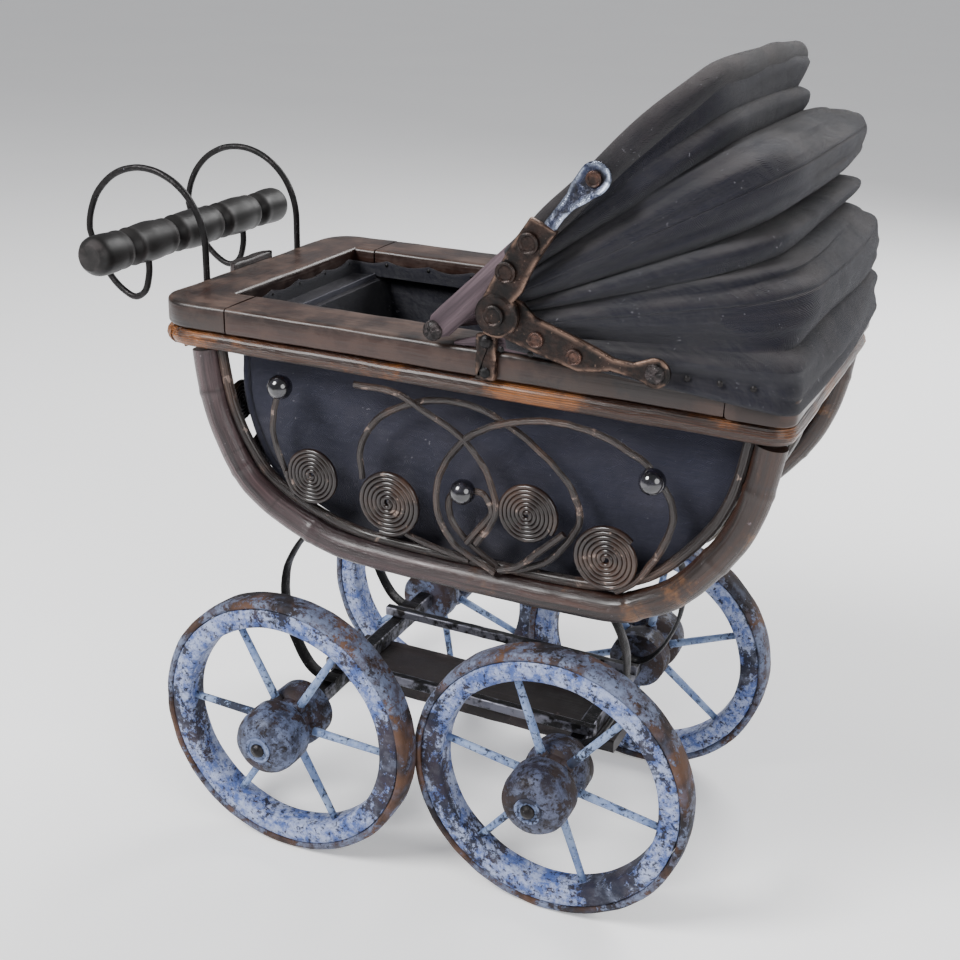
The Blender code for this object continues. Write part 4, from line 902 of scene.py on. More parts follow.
def axle_pieces():
    """Axles with domed nail heads over the hubs."""
    for end in ENDS:
        low, high = box(f"axle_{end}")
        centre = Vector(((low.x + high.x) / 2, 0, WHEEL_RADIUS))
        tip = high.y
        half = [(0.0, tip), (0.0012, tip - 0.0002), (0.0022, tip - 0.0008), (0.0026, tip - 0.0016),
                (0.0020, tip - 0.0017)]
        profile = half + [(radius, -along) for radius, along in reversed(half)]
        axle = Shape().lathe(profile, centre, steps=24)
        show(f"axle_nail_{end}", axle.mesh("axle", BLACK_IRON), "pram_body", [f"axle_{end}"])


def slab(name, node, look, round_by=0.0007):
    """A worn board in the place of a straight frame node, its grain along its longer side."""
    low, high = box(node)
    along_x = high.x - low.x > high.y - low.y
    count = 40
    outer, inner = [], []
    for i in range(count + 1):
        share = i / count
        if along_x:
            x = low.x + (high.x - low.x) * share
            outer.append((x, low.y))
            inner.append((x, high.y))
        else:
            y = low.y + (high.y - low.y) * share
            outer.append((high.x, y))
            inner.append((low.x, y))
    shape = Shape().board(outer, inner, low.z, high.z, round_by).wobble(0.0002, 140.0)
    return show(name, shape.mesh(name, look), "pram_body", [node])


def running_gear():
    """The plank, the floor and its rails, the axle bars and the two irons between them."""
    slab("undercarriage_plank", "perch_plank", PLANK_WOOD)
    slab("floor_plank", "floor_board", PLANK_WOOD)
    for end in ENDS:
        slab(f"floor_cross_rail_{end}", f"floor_rail_{end}", PLANK_WOOD)
        slab(f"axle_bar_{end}", f"axle_beam_{end}", BLACK_IRON)
    for side in SIDES:
        slab(f"perch_iron_{side}", f"perch_bar_{side}", BLACK_IRON, 0.0005)


def springs():
    """Flat iron straps bowed out past each axle, bolted at both ends."""
    for end, sign in ENDS.items():
        for side in SIDES:
            low, high = box(f"c_spring_{side}_{end}")
            thick = 0.0016
            bulge_x = high.x if sign > 0 else low.x
            axle_x = middle(f"axle_{end}").x - MIDDLE_X
            bulge = abs(bulge_x - axle_x) - thick / 2
            foot, head = low.z + thick / 2, high.z - thick / 2
            tall = head - foot
            knots = [(-0.0040, foot), (0.0030, foot), (0.60 * bulge, foot + 0.10 * tall),
                     (bulge, foot + 0.36 * tall), (bulge, foot + 0.66 * tall),
                     (0.55 * bulge, foot + 0.90 * tall), (0.0010, head), (-0.0110, head)]
            line = [(p.x, min(max(p.y, foot), head)) for p in flow(knots, 7)]
            y = (low.y + high.y) / 2
            path = [(axle_x + sign * x, y, z) for x, z in line]
            wide = (high.y - low.y) / thick
            shape = Shape().tube(path, thick / 2, 20, squash=wide, up=(0, 1, 0)).wobble(0.00015, 200.0)
            show(f"spring_strap_{side}_{end}", shape.mesh("spring", BLACK_IRON), "pram_body",
                 [f"c_spring_{side}_{end}"])


# ---------------------------------------------------------------- body
def boat(inset=0.0, top=None, low=None):
    """The side line of the body, a given distance inside the poles' centre line."""
    left, right = POLE_HANDLE_X + inset, POLE_HOOD_X - inset
    top = POLE_TOP if top is None else top
    low = POLE_LOW + inset if low is None else low
    deep = top - low
    knots = [(left, top), (left + 0.0030, top - 0.31 * deep), (left + 0.0090, top - 0.53 * deep),
             (left + 0.0165, top - 0.72 * deep), (left + 0.0300, top - 0.86 * deep),
             (left + 0.0450, low + 0.05 * deep), (left + 0.0640, low), (right - 0.0480, low),
             (right - 0.0365, low + 0.06 * deep), (right - 0.0250, low + 0.15 * deep),
             (right - 0.0150, low + 0.33 * deep), (right - 0.0075, top - 0.49 * deep),
             (right - 0.0025, top - 0.27 * deep), (right, top)]
    line = [Vector((p.x, max(p.y, low))) for p in flow(knots, 7)]
    for _ in range(12):
        line = [line[0]] + [(a + 2 * b + c) / 4 for a, b, c in zip(line, line[1:], line[2:])] + [line[-1]]
    return [(p.x, p.y) for p in line]


def side_poles():
    """Thick rattan poles bent under each side, with swollen nodes, and the thin strip inside them."""
    for side, hand in SIDES.items():
        y = hand * SIDE_Y
        joints = [0.06 + 0.112 * k + random.uniform(-0.012, 0.012) for k in range(9)]

        def thickness(share):
            swell = sum(math.exp(-((share - joint) / 0.0045) ** 2) for joint in joints)
            return POLE_RADIUS * (0.955 + 0.05 * swell)

        line = [(x, y, z) for x, z in boat(0.0, POLE_TOP - 0.0006)]
        shape = Shape().tube(flow(line, 3), thickness, 28)
        for k, point in enumerate(shape.points):
            ring = (k // 28) / (len(shape.points) / 28)
            near = min(abs(ring - joint) for joint in joints)
            shape.marks[k] = math.exp(-(near / 0.0022) ** 2)
        shape.wobble(0.00020, 120.0, hand)
        show(f"rattan_pole_{side}", shape.mesh("pole", RATTAN), "pram_body", [f"side_bow_{side}"])
        line = [(x, y, z) for x, z in boat(POLE_RADIUS + 0.0013)]
        shape = Shape().tube(line, 0.00180, 12).wobble(0.00018, 150.0)
        show(f"inner_strip_{side}", shape.mesh("strip", SCROLL_CANE), "pram_body", [f"side_strip_{side}"])


# Places in a side bow as shares of its length and height; a coil's third value is its radius.
COILS = ((0.220, 0.408, 0.0097), (0.370, 0.342, 0.0110), (0.624, 0.438, 0.0098), (0.763, 0.291, 0.0105))
BEAD_RADIUS = 0.0042
BEADS = ((0.167, 0.878), (0.513, 0.504), (0.831, 0.747))
WIRES = (
    ((0.167, 0.878), (0.150, 0.800), (0.140, 0.660), (0.145, 0.529), (0.181, 0.271)),
    ((0.307, 0.955), (0.382, 0.950), (0.437, 0.880), (0.499, 0.790), (0.540, 0.670), (0.560, 0.560),
     (0.570, 0.440), (0.560, 0.340), (0.535, 0.225)),
    ((0.317, 0.443), (0.312, 0.583), (0.324, 0.693), (0.354, 0.805), (0.400, 0.885), (0.445, 0.930),
     (0.489, 0.945), (0.535, 0.930), (0.583, 0.870), (0.630, 0.790), (0.679, 0.667), (0.704, 0.558),
     (0.712, 0.448), (0.693, 0.325), (0.659, 0.199), (0.616, 0.126), (0.578, 0.094)),
    ((0.831, 0.747), (0.820, 0.810), (0.785, 0.870), (0.740, 0.920), (0.695, 0.940), (0.650, 0.940),
     (0.596, 0.905), (0.546, 0.845), (0.505, 0.750), (0.475, 0.617), (0.461, 0.463), (0.468, 0.325),
     (0.495, 0.204), (0.534, 0.142), (0.573, 0.090)),
    ((0.831, 0.747), (0.849, 0.690), (0.863, 0.600), (0.860, 0.486), (0.841, 0.339), (0.810, 0.191),
     (0.780, 0.120)),
    ((0.690, 0.380), (0.674, 0.330), (0.647, 0.250), (0.612, 0.151), (0.578, 0.110)),
    ((0.513, 0.504), (0.485, 0.451), (0.481, 0.361), (0.498, 0.267), (0.543, 0.164), (0.573, 0.113)),
    ((0.513, 0.504), (0.540, 0.510), (0.554, 0.480), (0.562, 0.412), (0.541, 0.312), (0.519, 0.220)),
    ((0.340, 0.300), (0.393, 0.195), (0.459, 0.140), (0.520, 0.110)),
)


def scrollwork():
    """Wound coils, beads and looped flat cane nailed inside each side bow."""
    bead = [(BEAD_RADIUS * math.sin(math.radians(a)), BEAD_RADIUS * math.cos(math.radians(a)))
            for a in range(180, -1, -12)]
    bead_head = head_object("bead_ball", bead, 28)
    for side, hand in SIDES.items():
        plane = hand * (SIDE_Y + 0.0029)

        def spot(u, v, out=0.0):
            return (POLE_HANDLE_X + u * (POLE_HOOD_X - POLE_HANDLE_X), plane + hand * out,
                    POLE_LOW + v * (POLE_TOP - POLE_LOW))

        shape = Shape()
        for k, run in enumerate(WIRES):
            out = 0.0011 if k % 2 else -0.0008
            path = flow([spot(u, v, out) for u, v in run], 7)
            shape.tube(path, 0.00120, 12, squash=0.8, up=(0, 1, 0), lobes=6, depth=0.10)
        shape.wobble(0.00022, 260.0, hand)
        show(f"scroll_canes_{side}", shape.mesh("scrolls", SCROLL_CANE), "pram_body", [f"scrollwork_{side}"])
        spots = [(spot(u, v, 0.0004), (0, hand, 0), radius / COIL_RADIUS, 1.3 * k)
                 for k, (u, v, radius) in enumerate(COILS)]
        values = {"Turns": 6.5, "Wire": 0.00084, "Flatness": 1.3, "Material": SCROLL_CANE}
        grown(f"wound_coils_{side}", COIL_TREE, "pram_body", values, spots)
        spots = [(spot(u, v, 0.0026), (0, hand, 0), 1.0, 0.0) for u, v in BEADS]
        heads(f"scroll_beads_{side}", "pram_body", bead_head, BEAD, spots)


def end_ribs():
    """Flat strips bent down both ends, with two small coils on each strip of the push-bar end."""
    full = boat(POLE_RADIUS - 0.0026)
    centre_x = (HANDLE_X + HOOD_X) / 2
    for end, sign in ENDS.items():
        for side, hand in SIDES.items():
            rib = f"{end}_end_rib_{side}"
            low, y = box(rib)[0], middle(rib).y
            half = [(x, z) for x, z in full if (x - centre_x) * sign > 0 and z > low.z + 0.0026]
            line = [(x, y, z) for x, z in half]
            shape = Shape().tube(line, 0.0019, 16, squash=1.35, up=(0, 1, 0), lobes=8, depth=0.08)
            shape.wobble(0.00015, 180.0)
            show(f"end_strip_{end}_{side}", shape.mesh("rib", RIB_CANE), "pram_body", [rib])
            if end == "handle":
                spots = []
                for drop in (0.022, 0.039):
                    z = POLE_TOP - drop
                    x = min(half, key=lambda p: abs(p[1] - z))[0]
                    spots.append(((x - 0.0014, y + hand * 0.0140, z), (-1, 0, 0), 0.76, drop * 40))
                values = {"Turns": 5.5, "Wire": 0.0009, "Flatness": 1.5, "Material": RIB_CANE}
                grown(f"small_coils_{side}", COIL_TREE, "pram_body", values, spots)


def rim_boards():
    """Flat boards round the top of the body, rubbed along their edges."""
    arm_x = box("rim_board_near")[0].x
    back_x = box("rim_board_hood_end")[0].x
    for side, hand in SIDES.items():
        low, high = box(f"rim_board_{side}")
        xs = [low.x + (high.x - low.x) * i / 60 for i in range(61)]
        outer = [(x, hand * RIM_OUT) for x in xs]
        inner = [(x, hand * RIM_IN) for x in xs]
        shape = Shape().board(outer, inner, RIM_UNDER, RIM_TOP, BOARD_EDGE).wobble(0.00030, 60.0, hand)
        show(f"side_board_{side}", shape.mesh("board", RIM_WOOD), "pram_body", [f"rim_board_{side}"])
    turn = HANDLE_BEND
    inner_x = HANDLE_X + (RIM_OUT - RIM_IN)
    half_out = [(arm_x - 0.0006 - (arm_x - 0.0006 - HANDLE_X - turn) * i / 8, RIM_OUT) for i in range(8)]
    half_in = [(x, RIM_IN) for x, y in half_out[:-2]] + [(inner_x + 0.0004, RIM_IN)] * 2
    bend = arc((HANDLE_X + turn, RIM_OUT - turn), turn, 90, 180, 10)
    half_out += bend
    half_in += [(inner_x, RIM_IN - 0.0004 * k) for k in range(len(bend))]
    across = [(HANDLE_X, (RIM_OUT - turn) * (1 - i / 9)) for i in range(1, 10)]
    half_out += across
    half_in += [(inner_x, (RIM_IN - 0.0044) * (1 - i / 9)) for i in range(1, 10)]
    outer = half_out + [(x, -y) for x, y in reversed(half_out[:-1])]
    inner = half_in + [(x, -y) for x, y in reversed(half_in[:-1])]
    shape = Shape().board(outer, inner, RIM_UNDER, RIM_TOP, BOARD_EDGE).wobble(0.00030, 60.0, 5.0)
    show("corner_board_handle_end", shape.mesh("board", RIM_WOOD), "pram_body", ["rim_board_handle_end"])
    turn = HOOD_BEND
    bend = arc((HOOD_X - turn, RIM_OUT - turn), turn, 90, 0, 6)
    outer = [(x, -y) for x, y in bend] + [(HOOD_X, (-1 + i / 12) * (RIM_OUT - turn)) for i in range(1, 24)]
    outer += [(x, y) for x, y in reversed(bend)]
    inner = [(back_x, y) for x, y in outer]
    shape = Shape().board(outer, inner, RIM_UNDER, RIM_TOP, BOARD_EDGE).wobble(0.00030, 60.0, 9.0)
    show("end_board_hood_end", shape.mesh("board", RIM_WOOD), "pram_body", ["rim_board_hood_end"])


def band_line(steps=24, inset=0.0033):
    """The centre line of the cane under the boards, as a closed loop in plan."""
    tight, broad = HOOD_BEND, HANDLE_BEND - inset
    low_x, high_x, wide = HANDLE_X + inset, HOOD_X - inset, RIM_OUT - inset
    corners = (arc((high_x - tight, wide - tight), tight, 0, 90, 6),
               arc((low_x + broad, wide - broad), broad, 90, 180, 8),
               arc((low_x + broad, -wide + broad), broad, 180, 270, 8),
               arc((high_x - tight, -wide + tight), tight, 270, 360, 6))
    loop = []
    for here, there in zip(corners, corners[1:] + corners[:1]):
        loop += here
        a, b = Vector(here[-1]), Vector(there[0])
        loop += [tuple(a.lerp(b, i / steps)) for i in range(1, steps)]
    return loop


def cane_band():
    """The cane band under the boards: a bundle of split strands with bindings at its corners."""
    loop = [(x, y, CANE_Z) for x, y in band_line()]
    shape = Shape().tube(loop, CANE_RADIUS * 1.02, 40, closed=True, lobes=16, depth=0.07)
    shape.wobble(0.00025, 110.0)
    show("cane_bundle", shape.mesh("band", BAND_CANE), "pram_body", ["cane_band"])
    wrap = Shape()
    bound = [p for p in loop if p[0] < HANDLE_X + 0.022 and abs(p[1]) > 0.030]
    for hand in SIDES.values():
        bend = [p for p in bound if p[1] * hand > 0]
        bend.sort(key=lambda p: p[0] + hand * -p[1])
        turns = 9
        path = []
        for i in range(turns * 14):
            share = i / (turns * 14 - 1)
            k = share * (len(bend) - 1)
            a, b = Vector(bend[int(k)]), Vector(bend[min(int(k) + 1, len(bend) - 1)])
            here = a.lerp(b, k - int(k))
            ahead = (b - a).normalized() if (b - a).length > 0 else Vector((1, 0, 0))
            side = ahead.cross(Vector((0, 0, 1)))
            turn = 2 * math.pi * turns * share
            reach = CANE_RADIUS + 0.0004
            path.append(here + side * (reach * math.cos(turn)) + Vector((0, 0, reach * math.sin(turn))))
        wrap.tube(path, 0.0009, 8, squash=0.6)
    show("cane_bindings", wrap.mesh("wrap", BAND_CANE), "pram_body")


# ---------------------------------------------------------------- tub
def smooth_reach(inset, heights, pull=0.0):
    """The tub's two ends at each height; pull draws the push-bar end in towards the rim."""
    line = boat(inset, heights[0], heights[-1])
    cut = len(line) // 2
    out = []
    for z in heights:
        ends = []
        for half in (line[:cut + 1], line[cut:][::-1]):
            best = half[0][0]
            for a, b in zip(half, half[1:]):
                if (a[1] - z) * (b[1] - z) <= 0 and a[1] != b[1]:
                    best = a[0] + (b[0] - a[0]) * (z - a[1]) / (b[1] - a[1])
                    break
            else:
                if z < half[0][1]:
                    best = half[-1][0]
            ends.append(best)
        share = (heights[0] - z) / (heights[0] - heights[-1])
        out.append((ends[0] + pull * (1 - share) ** 2, ends[1]))
    return out


def tub_loop(left, right, wide, corner, count):
    """A rounded rectangle in plan with evenly spread points."""
    corner = min(corner, wide * 0.9, (right - left) * 0.45)
    line = []
    parts = ((right - corner, wide - corner, 0), (left + corner, wide - corner, 90),
             (left + corner, -wide + corner, 180), (right - corner, -wide + corner, 270))
    for x, y, start in parts:
        line += arc((x, y), corner, start, start + 90, 6)
    line.append(line[0])
    total = [0.0]
    for a, b in zip(line, line[1:]):
        total.append(total[-1] + math.hypot(b[0] - a[0], b[1] - a[1]))
    k = 0
    out = []
    for i in range(count):
        reach = total[-1] * i / count
        while total[k + 1] < reach:
            k += 1
        step = total[k + 1] - total[k]
        share = (reach - total[k]) / step if step else 0.0
        out.append((line[k][0] + (line[k + 1][0] - line[k][0]) * share,
                    line[k][1] + (line[k + 1][1] - line[k][1]) * share))
    return out


def tub_shell(inset, wide, top, low, levels, folds, seed, lip=None, pull=0.0):
    """A hanging canvas tub between two heights, with soft folds; lip makes the rows above them."""
    count = TUB_POINTS
    heights = [top + (low - top) * (i / levels) ** 0.85 for i in range(levels + 1)]
    reaches = smooth_reach(inset, heights, pull)
    rows = []
    if lip:
        rows += lip(count)
    for i, (z, (left, right)) in enumerate(zip(heights, reaches)):
        share = i / levels
        corner = 0.0026 + 0.0010 * share
        row = []
        for j, (x, y) in enumerate(tub_loop(left, right, wide * (1 - 0.03 * share), corner, count)):
            place = Vector((x, y, z))
            fold = noise.noise(Vector((x * 38, y * 38, z * 9 + seed))) * folds
            fold *= math.sin(math.pi * min(share * 1.1, 1))
            ripple = noise.noise(Vector((x * 140, y * 140, z * 90 + seed))) * 0.0004
            outward = Vector((x - (left + right) / 2, y * 2.2, 0)).normalized()
            row.append(place + outward * (fold + ripple))
        rows.append(row)
    left, right = reaches[-1]
    for shrink in (0.92, 0.7, 0.45, 0.2, 0.0):
        row = []
        for x, y in tub_loop(left, right, wide * 0.97, 0.011, count):
            cx = (left + right) / 2
            px, py = cx + (x - cx) * shrink, y * shrink
            rise = noise.noise(Vector((px * 60, py * 60, seed))) * 0.0008
            row.append((px, py, low + abs(rise)))
        rows.append(row)
    shape = Shape()
    down = [0.0]
    for a, b in zip(rows, rows[1:]):
        down.append(down[-1] + (Vector(a[0]) - Vector(b[0])).length)
    shape.grid(rows, closed=True, coords=lambda i, j: (j * 0.0026, down[i]))
    return shape


def thickened(data, thickness, offset, name):
    """A sheet mesh given its cloth thickness, as a plain mesh."""
    maker = placed(name + "_maker", data)
    wall = maker.modifiers.new("cloth", "SOLIDIFY")
    wall.thickness = thickness
    wall.offset = offset
    made = baked(maker)
    made.name = name
    return made


def scallops(count):
    """The lining's upper edge: tacked scallops against the inner faces of the boards."""
    inner_x = HANDLE_X + (RIM_OUT - RIM_IN) + LINING_GAP
    hood_x = box("rim_board_hood_end")[0].x - LINING_GAP
    rows = []
    for drop in (0.0, 0.35, 0.7, 1.0):
        row = []
        for j, (x, y) in enumerate(tub_loop(inner_x, hood_x, RIM_IN - LINING_GAP, 0.003, count)):
            wave = abs(math.sin(math.pi * j / 6.0))
            top = RIM_TOP - 0.0036 - 0.0016 * wave - 0.0004 * noise.noise(Vector((x * 90, y * 90, 2)))
            low = RIM_UNDER - 0.0012
            row.append((x, y, top + (low - top) * drop))
        rows.append(row)
    return rows


def tub():
    """The canvas tub's outer cover and its inner lining, tacked round the rim."""
    floor_top = box("floor_board")[1].z
    cover = tub_shell(COVER_INSET, COVER_WIDE, RIM_UNDER - 0.0004, POLE_LOW + 0.0031, 26, 0.0006, 3.0,
                      pull=COVER_PULL)
    data = thickened(cover.mesh("cover", TUB_CANVAS), 0.0006, -1.0, "tub_cover")
    piece = show("tub_cover", data, "pram_body", ["tub_lining"])
    lining = tub_shell(0.0150, 0.0462, RIM_UNDER - 0.0030, floor_top + 0.0010, 22, 0.0022, 11.0, scallops)
    data = thickened(lining.mesh("lining", LINING_CANVAS), 0.0006, 0.0, "inner_lining")
    piece = show("inner_lining", data, "pram_body")
    piping = Shape()
    heights = [RIM_UNDER - 0.0006 + (POLE_LOW + 0.0037 - RIM_UNDER) * i / 28 for i in range(29)]
    seam = list(zip(heights, smooth_reach(COVER_INSET, heights, COVER_PULL)))[:24]
    for hand in SIDES.values():
        line = [(ends[0] + 0.0014, hand * 0.0499 * (1 - 0.03 * k / 28), z)
                for k, (z, ends) in enumerate(seam)]
        piping.tube(line, 0.0012, 10)
    piping.wobble(0.00025, 220.0)
    show("tub_piping", piping.mesh("piping", TUB_CANVAS), "pram_body")


# ---------------------------------------------------------------- hood
# How far the hood's crown reaches from the pins, and its half width, in millimetres, by angle.
CROWN = ((-5.0, 110.6), (2.6, 109.2), (4.4, 106.4), (8.6, 111.4), (12.5, 112.4), (15.4, 109.6), (17.8, 102.0),
         (20.6, 108.8), (23.2, 101.0), (26.4, 113.6), (29.2, 116.4), (32.0, 114.0), (34.2, 109.0),
         (36.4, 101.4), (39.2, 106.0), (40.8, 104.0), (45.0, 110.4))
LEG = ((-5.0, 62.8), (2.6, 64.2), (5.0, 62.6), (12.5, 66.4), (17.8, 62.2), (20.6, 65.4), (23.2, 62.0),
       (29.0, 66.6), (36.2, 61.8), (39.6, 64.8), (41.0, 63.6), (45.0, 66.6))


def read_at(table, angle):
    """A smooth value of a table of (angle, millimetres), in metres."""
    for (a, b), (c, d) in zip(table, table[1:]):
        if angle <= c:
            share = (angle - a) / (c - a)
            if d > b:
                return (b + (d - b) * math.sin(share * math.pi / 2)) / 1000
            return (d + (b - d) * math.sin((1 - share) * math.pi / 2)) / 1000
    return table[-1][1] / 1000


def hood_at(angle, reach, y):
    """The place at an angle and reach from the line of the hood's pins."""
    turn = math.radians(angle)
    return Vector((PIVOT_X + reach * math.cos(turn), y, PIVOT_Z + reach * math.sin(turn)))


def arch(leg, reach, start, corner=0.0225, rise=0.0015, legs=18, bend=9, top=13):
    """Half a hood arch as (reach, y) points, from the low edge of its leg to the middle of its crown."""
    out = []
    for i in range(legs):
        out.append((start + (reach - corner - start) * i / legs, leg))
    for i in range(bend):
        turn = math.radians(90 * i / bend)
        out.append((reach - corner * (1 - math.sin(turn)), leg - corner * (1 - math.cos(turn))))
    flat = leg - corner
    for i in range(top + 1):
        share = i / top
        out.append((reach + rise * math.sin(share * math.pi / 2), flat * (1 - share)))
    return out


def both_legs(half):
    """A whole arch as (reach, y) points, from half of it."""
    return [(r, -y) for r, y in half[:-1]] + half[::-1]


def hood_sheet(low, high, start_low, start_high, columns):
    """Canvas between two angles about the hood's pivot, creased by folds that run to the pivot."""
    rows = []
    for i in range(columns + 1):
        share = i / columns
        angle = low + (high - low) * share
        reach = read_at(CROWN, angle)
        leg = read_at(LEG, angle)
        start = start_low + (start_high - start_low) * share
        corner = 0.0065 + 0.0160 * min(1.0, max(0.0, (angle - 2.0) / 8.0))
        full = both_legs(arch(leg, reach, start, corner))
        row = []
        for r, y in full:
            point = hood_at(angle, r, y)
            grow = min(1.0, max(0.0, (r - 0.02) / 0.07))
            crease = noise.noise(Vector((angle * 0.36, r * 14, y * 16))) * 0.0034 * grow
            crease += noise.noise(Vector((angle * 1.1, r * 26, y * 24 + 7))) * 0.0005 * grow
            crumple = noise.noise(point * 130) * 0.0005
            base = hood_at(angle, r - 0.02, y * 0.55)
            outward = (point - base).normalized()
            edge = min(1.0, share * 8, (1 - share) * 8)
            row.append(point + outward * ((crease + crumple) * edge))
        rows.append(row)
    shape = Shape()
    runs = [0.0]
    mid = rows[len(rows) // 2]
    for a, b in zip(mid, mid[1:]):
        runs.append(runs[-1] + (b - a).length)
    across = math.radians(high - low) * 0.085 / columns
    shape.grid(rows, coords=lambda i, j: (runs[j], i * across))
    return shape


def turning(piece, low, high):
    """Spread the blend by the angle about the hood's pivot, so that every fold turns about the pin."""
    weights = piece.data.attributes["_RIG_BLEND"]
    for k, vertex in enumerate(piece.data.vertices):
        x, z = vertex.co.x - MIDDLE_X - PIVOT_X, vertex.co.z - PIVOT_Z
        angle = math.degrees(math.atan2(z, x))
        weights.data[k].value = min(1.0, max(0.0, (angle - low) / (high - low)))


def hood():
    """The folding hood: three creased sheets between the bows, and a rolled hem on the front bow."""
    # name, low and high angle, hem reach at each, columns, bodies, angles that turn, flat size
    panels = (
        ("rear", -5.0, REAR_ANGLE, 0.0240, 0.0240, 30, "pram_body", "hood_rear", 2.6, 12.3, (0.26, 0.05)),
        ("middle", REAR_ANGLE, MIDDLE_ANGLE, 0.0240, 0.0260, 34, "hood_rear", "hood_middle", 12.7, 28.8,
         (0.27, 0.05)),
        ("front", MIDDLE_ANGLE, FRONT_ANGLE, 0.0260, 0.0360, 34, "hood_middle", "hood_front", 29.2, 44.6,
         (0.27, 0.05)),
    )
    for name, low, high, start, stop, columns, body, next_body, turn_low, turn_high, flat in panels:
        shape = hood_sheet(low, high, start, stop, columns)
        data = shape.mesh(f"hood_{name}", HOOD_CANVAS, fix=False)
        data = thickened(data, 0.0007, 0.0, f"hood_sheet_{name}")
        piece = placed(f"hood_sheet_{name}", data)
        at_low = hood_at(turn_low, 0.09, 0)
        at_high = hood_at(turn_high, 0.09, 0)
        shift = Vector((MIDDLE_X, 0, 0))
        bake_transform(piece, body, next_body, start=tuple(at_low + shift), end=tuple(at_high + shift))
        turning(piece, turn_low, turn_high)
        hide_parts(f"hood_canvas_{name}")
    hem_roll()


def hem_roll():
    """The soft roll of canvas sewn round the front bow, and the line of its hem."""
    path = [hood_at(FRONT_ANGLE + 0.6, r, y) for r, y in both_legs(arch(0.0640, 0.1085, 0.0360, 0.0215))]

    def plump(share):
        lump = 0.0002 * math.sin(share * 37)
        return 0.0046 + lump - 0.0012 * max(0.0, 1 - min(share, 1 - share) * 14)

    shape = Shape().tube(path, plump, 24, squash=0.9, up=(1, 0, 1)).wobble(0.0004, 55.0, 2.0)
    piece = show("hood_hem_roll", shape.mesh("hem", HEM_CANVAS), "hood_front")


def hood_sticks():
    """The three bent hood sticks on their pins; the front one is flat and bare near its screw."""
    sizes = {"rear": (REAR_ANGLE, 0.0490, 0.1060, 0.0023), "middle": (MIDDLE_ANGLE, 0.0545, 0.1100, 0.0023),
             "front": (FRONT_ANGLE, FRONT_LEG_Y, 0.1045, 0.0036)}
    for name, (angle, leg, reach, radius) in sizes.items():
        front = name == "front"
        full = both_legs(arch(leg, reach, -0.0030 if front else -0.0012, 0.0220))
        path = [hood_at(angle, r, y) for r, y in full]

        def thickness(share):
            near = min(share, 1 - share)
            end = math.sqrt(min(1.0, near / 0.012)) if front else 1.0
            flare = 0.0006 if front and near < 0.16 else 0.0
            return (radius + flare) * max(0.35, end)

        shape = Shape().tube(path, thickness, 20, up=(0, 1, 0), squash=0.8 if front else 1.0)
        shape.wobble(0.00022, 140.0)
        show(f"hood_stick_{name}", shape.mesh("stick", BOW_WOOD), f"hood_{name}", [f"hood_bow_{name}"])


# ---------------------------------------------------------------- irons and fasteners
def flat_iron(shape, outline, inner, outer, chamfer=0.0004):
    """A plate of iron in the side plane between two values of y, its outer edge chamfered."""
    count = len(outline)
    hand = 1 if outer > inner else -1

    def shrunk(amount):
        out = []
        for k, (x, z) in enumerate(outline):
            a, b = Vector(outline[k - 1]), Vector(outline[(k + 1) % count])
            run = (b - a).normalized()
            away = Vector((run.y, -run.x))
            out.append((x - away.x * amount, z - away.y * amount))
        return out

    turn = sum((b[0] - a[0]) * (b[1] + a[1]) for a, b in zip(outline, outline[1:] + outline[:1]))
    sign = 1 if turn < 0 else -1
    rows = []
    steps = ((chamfer, inner, 1), (0.0, inner + hand * chamfer, 1), (0.0, outer - hand * chamfer, 0.8),
             (chamfer, outer, 1), (chamfer + 0.0007, outer, 0.25), (chamfer + 0.0013, outer, 0))
    for amount, y, mark in steps:
        rows.append([(x, y, z) for x, z in shrunk(amount * sign)])
    first = shape.grid(rows, closed=True, marks=lambda i, j: steps[i][2])
    shape.cap(first, count, flip=True)
    shape.cap(first + (len(rows) - 1) * count, count)
    return shape


def ring_rivet(radius, rise):
    """A round rivet with a raised ring and a flat middle."""
    return [(0.0, rise * 0.55), (radius * 0.62, rise * 0.55), (radius * 0.72, rise * 0.9),
            (radius * 0.84, rise), (radius * 0.95, rise * 0.8), (radius, 0.0), (0.0, 0.0)]


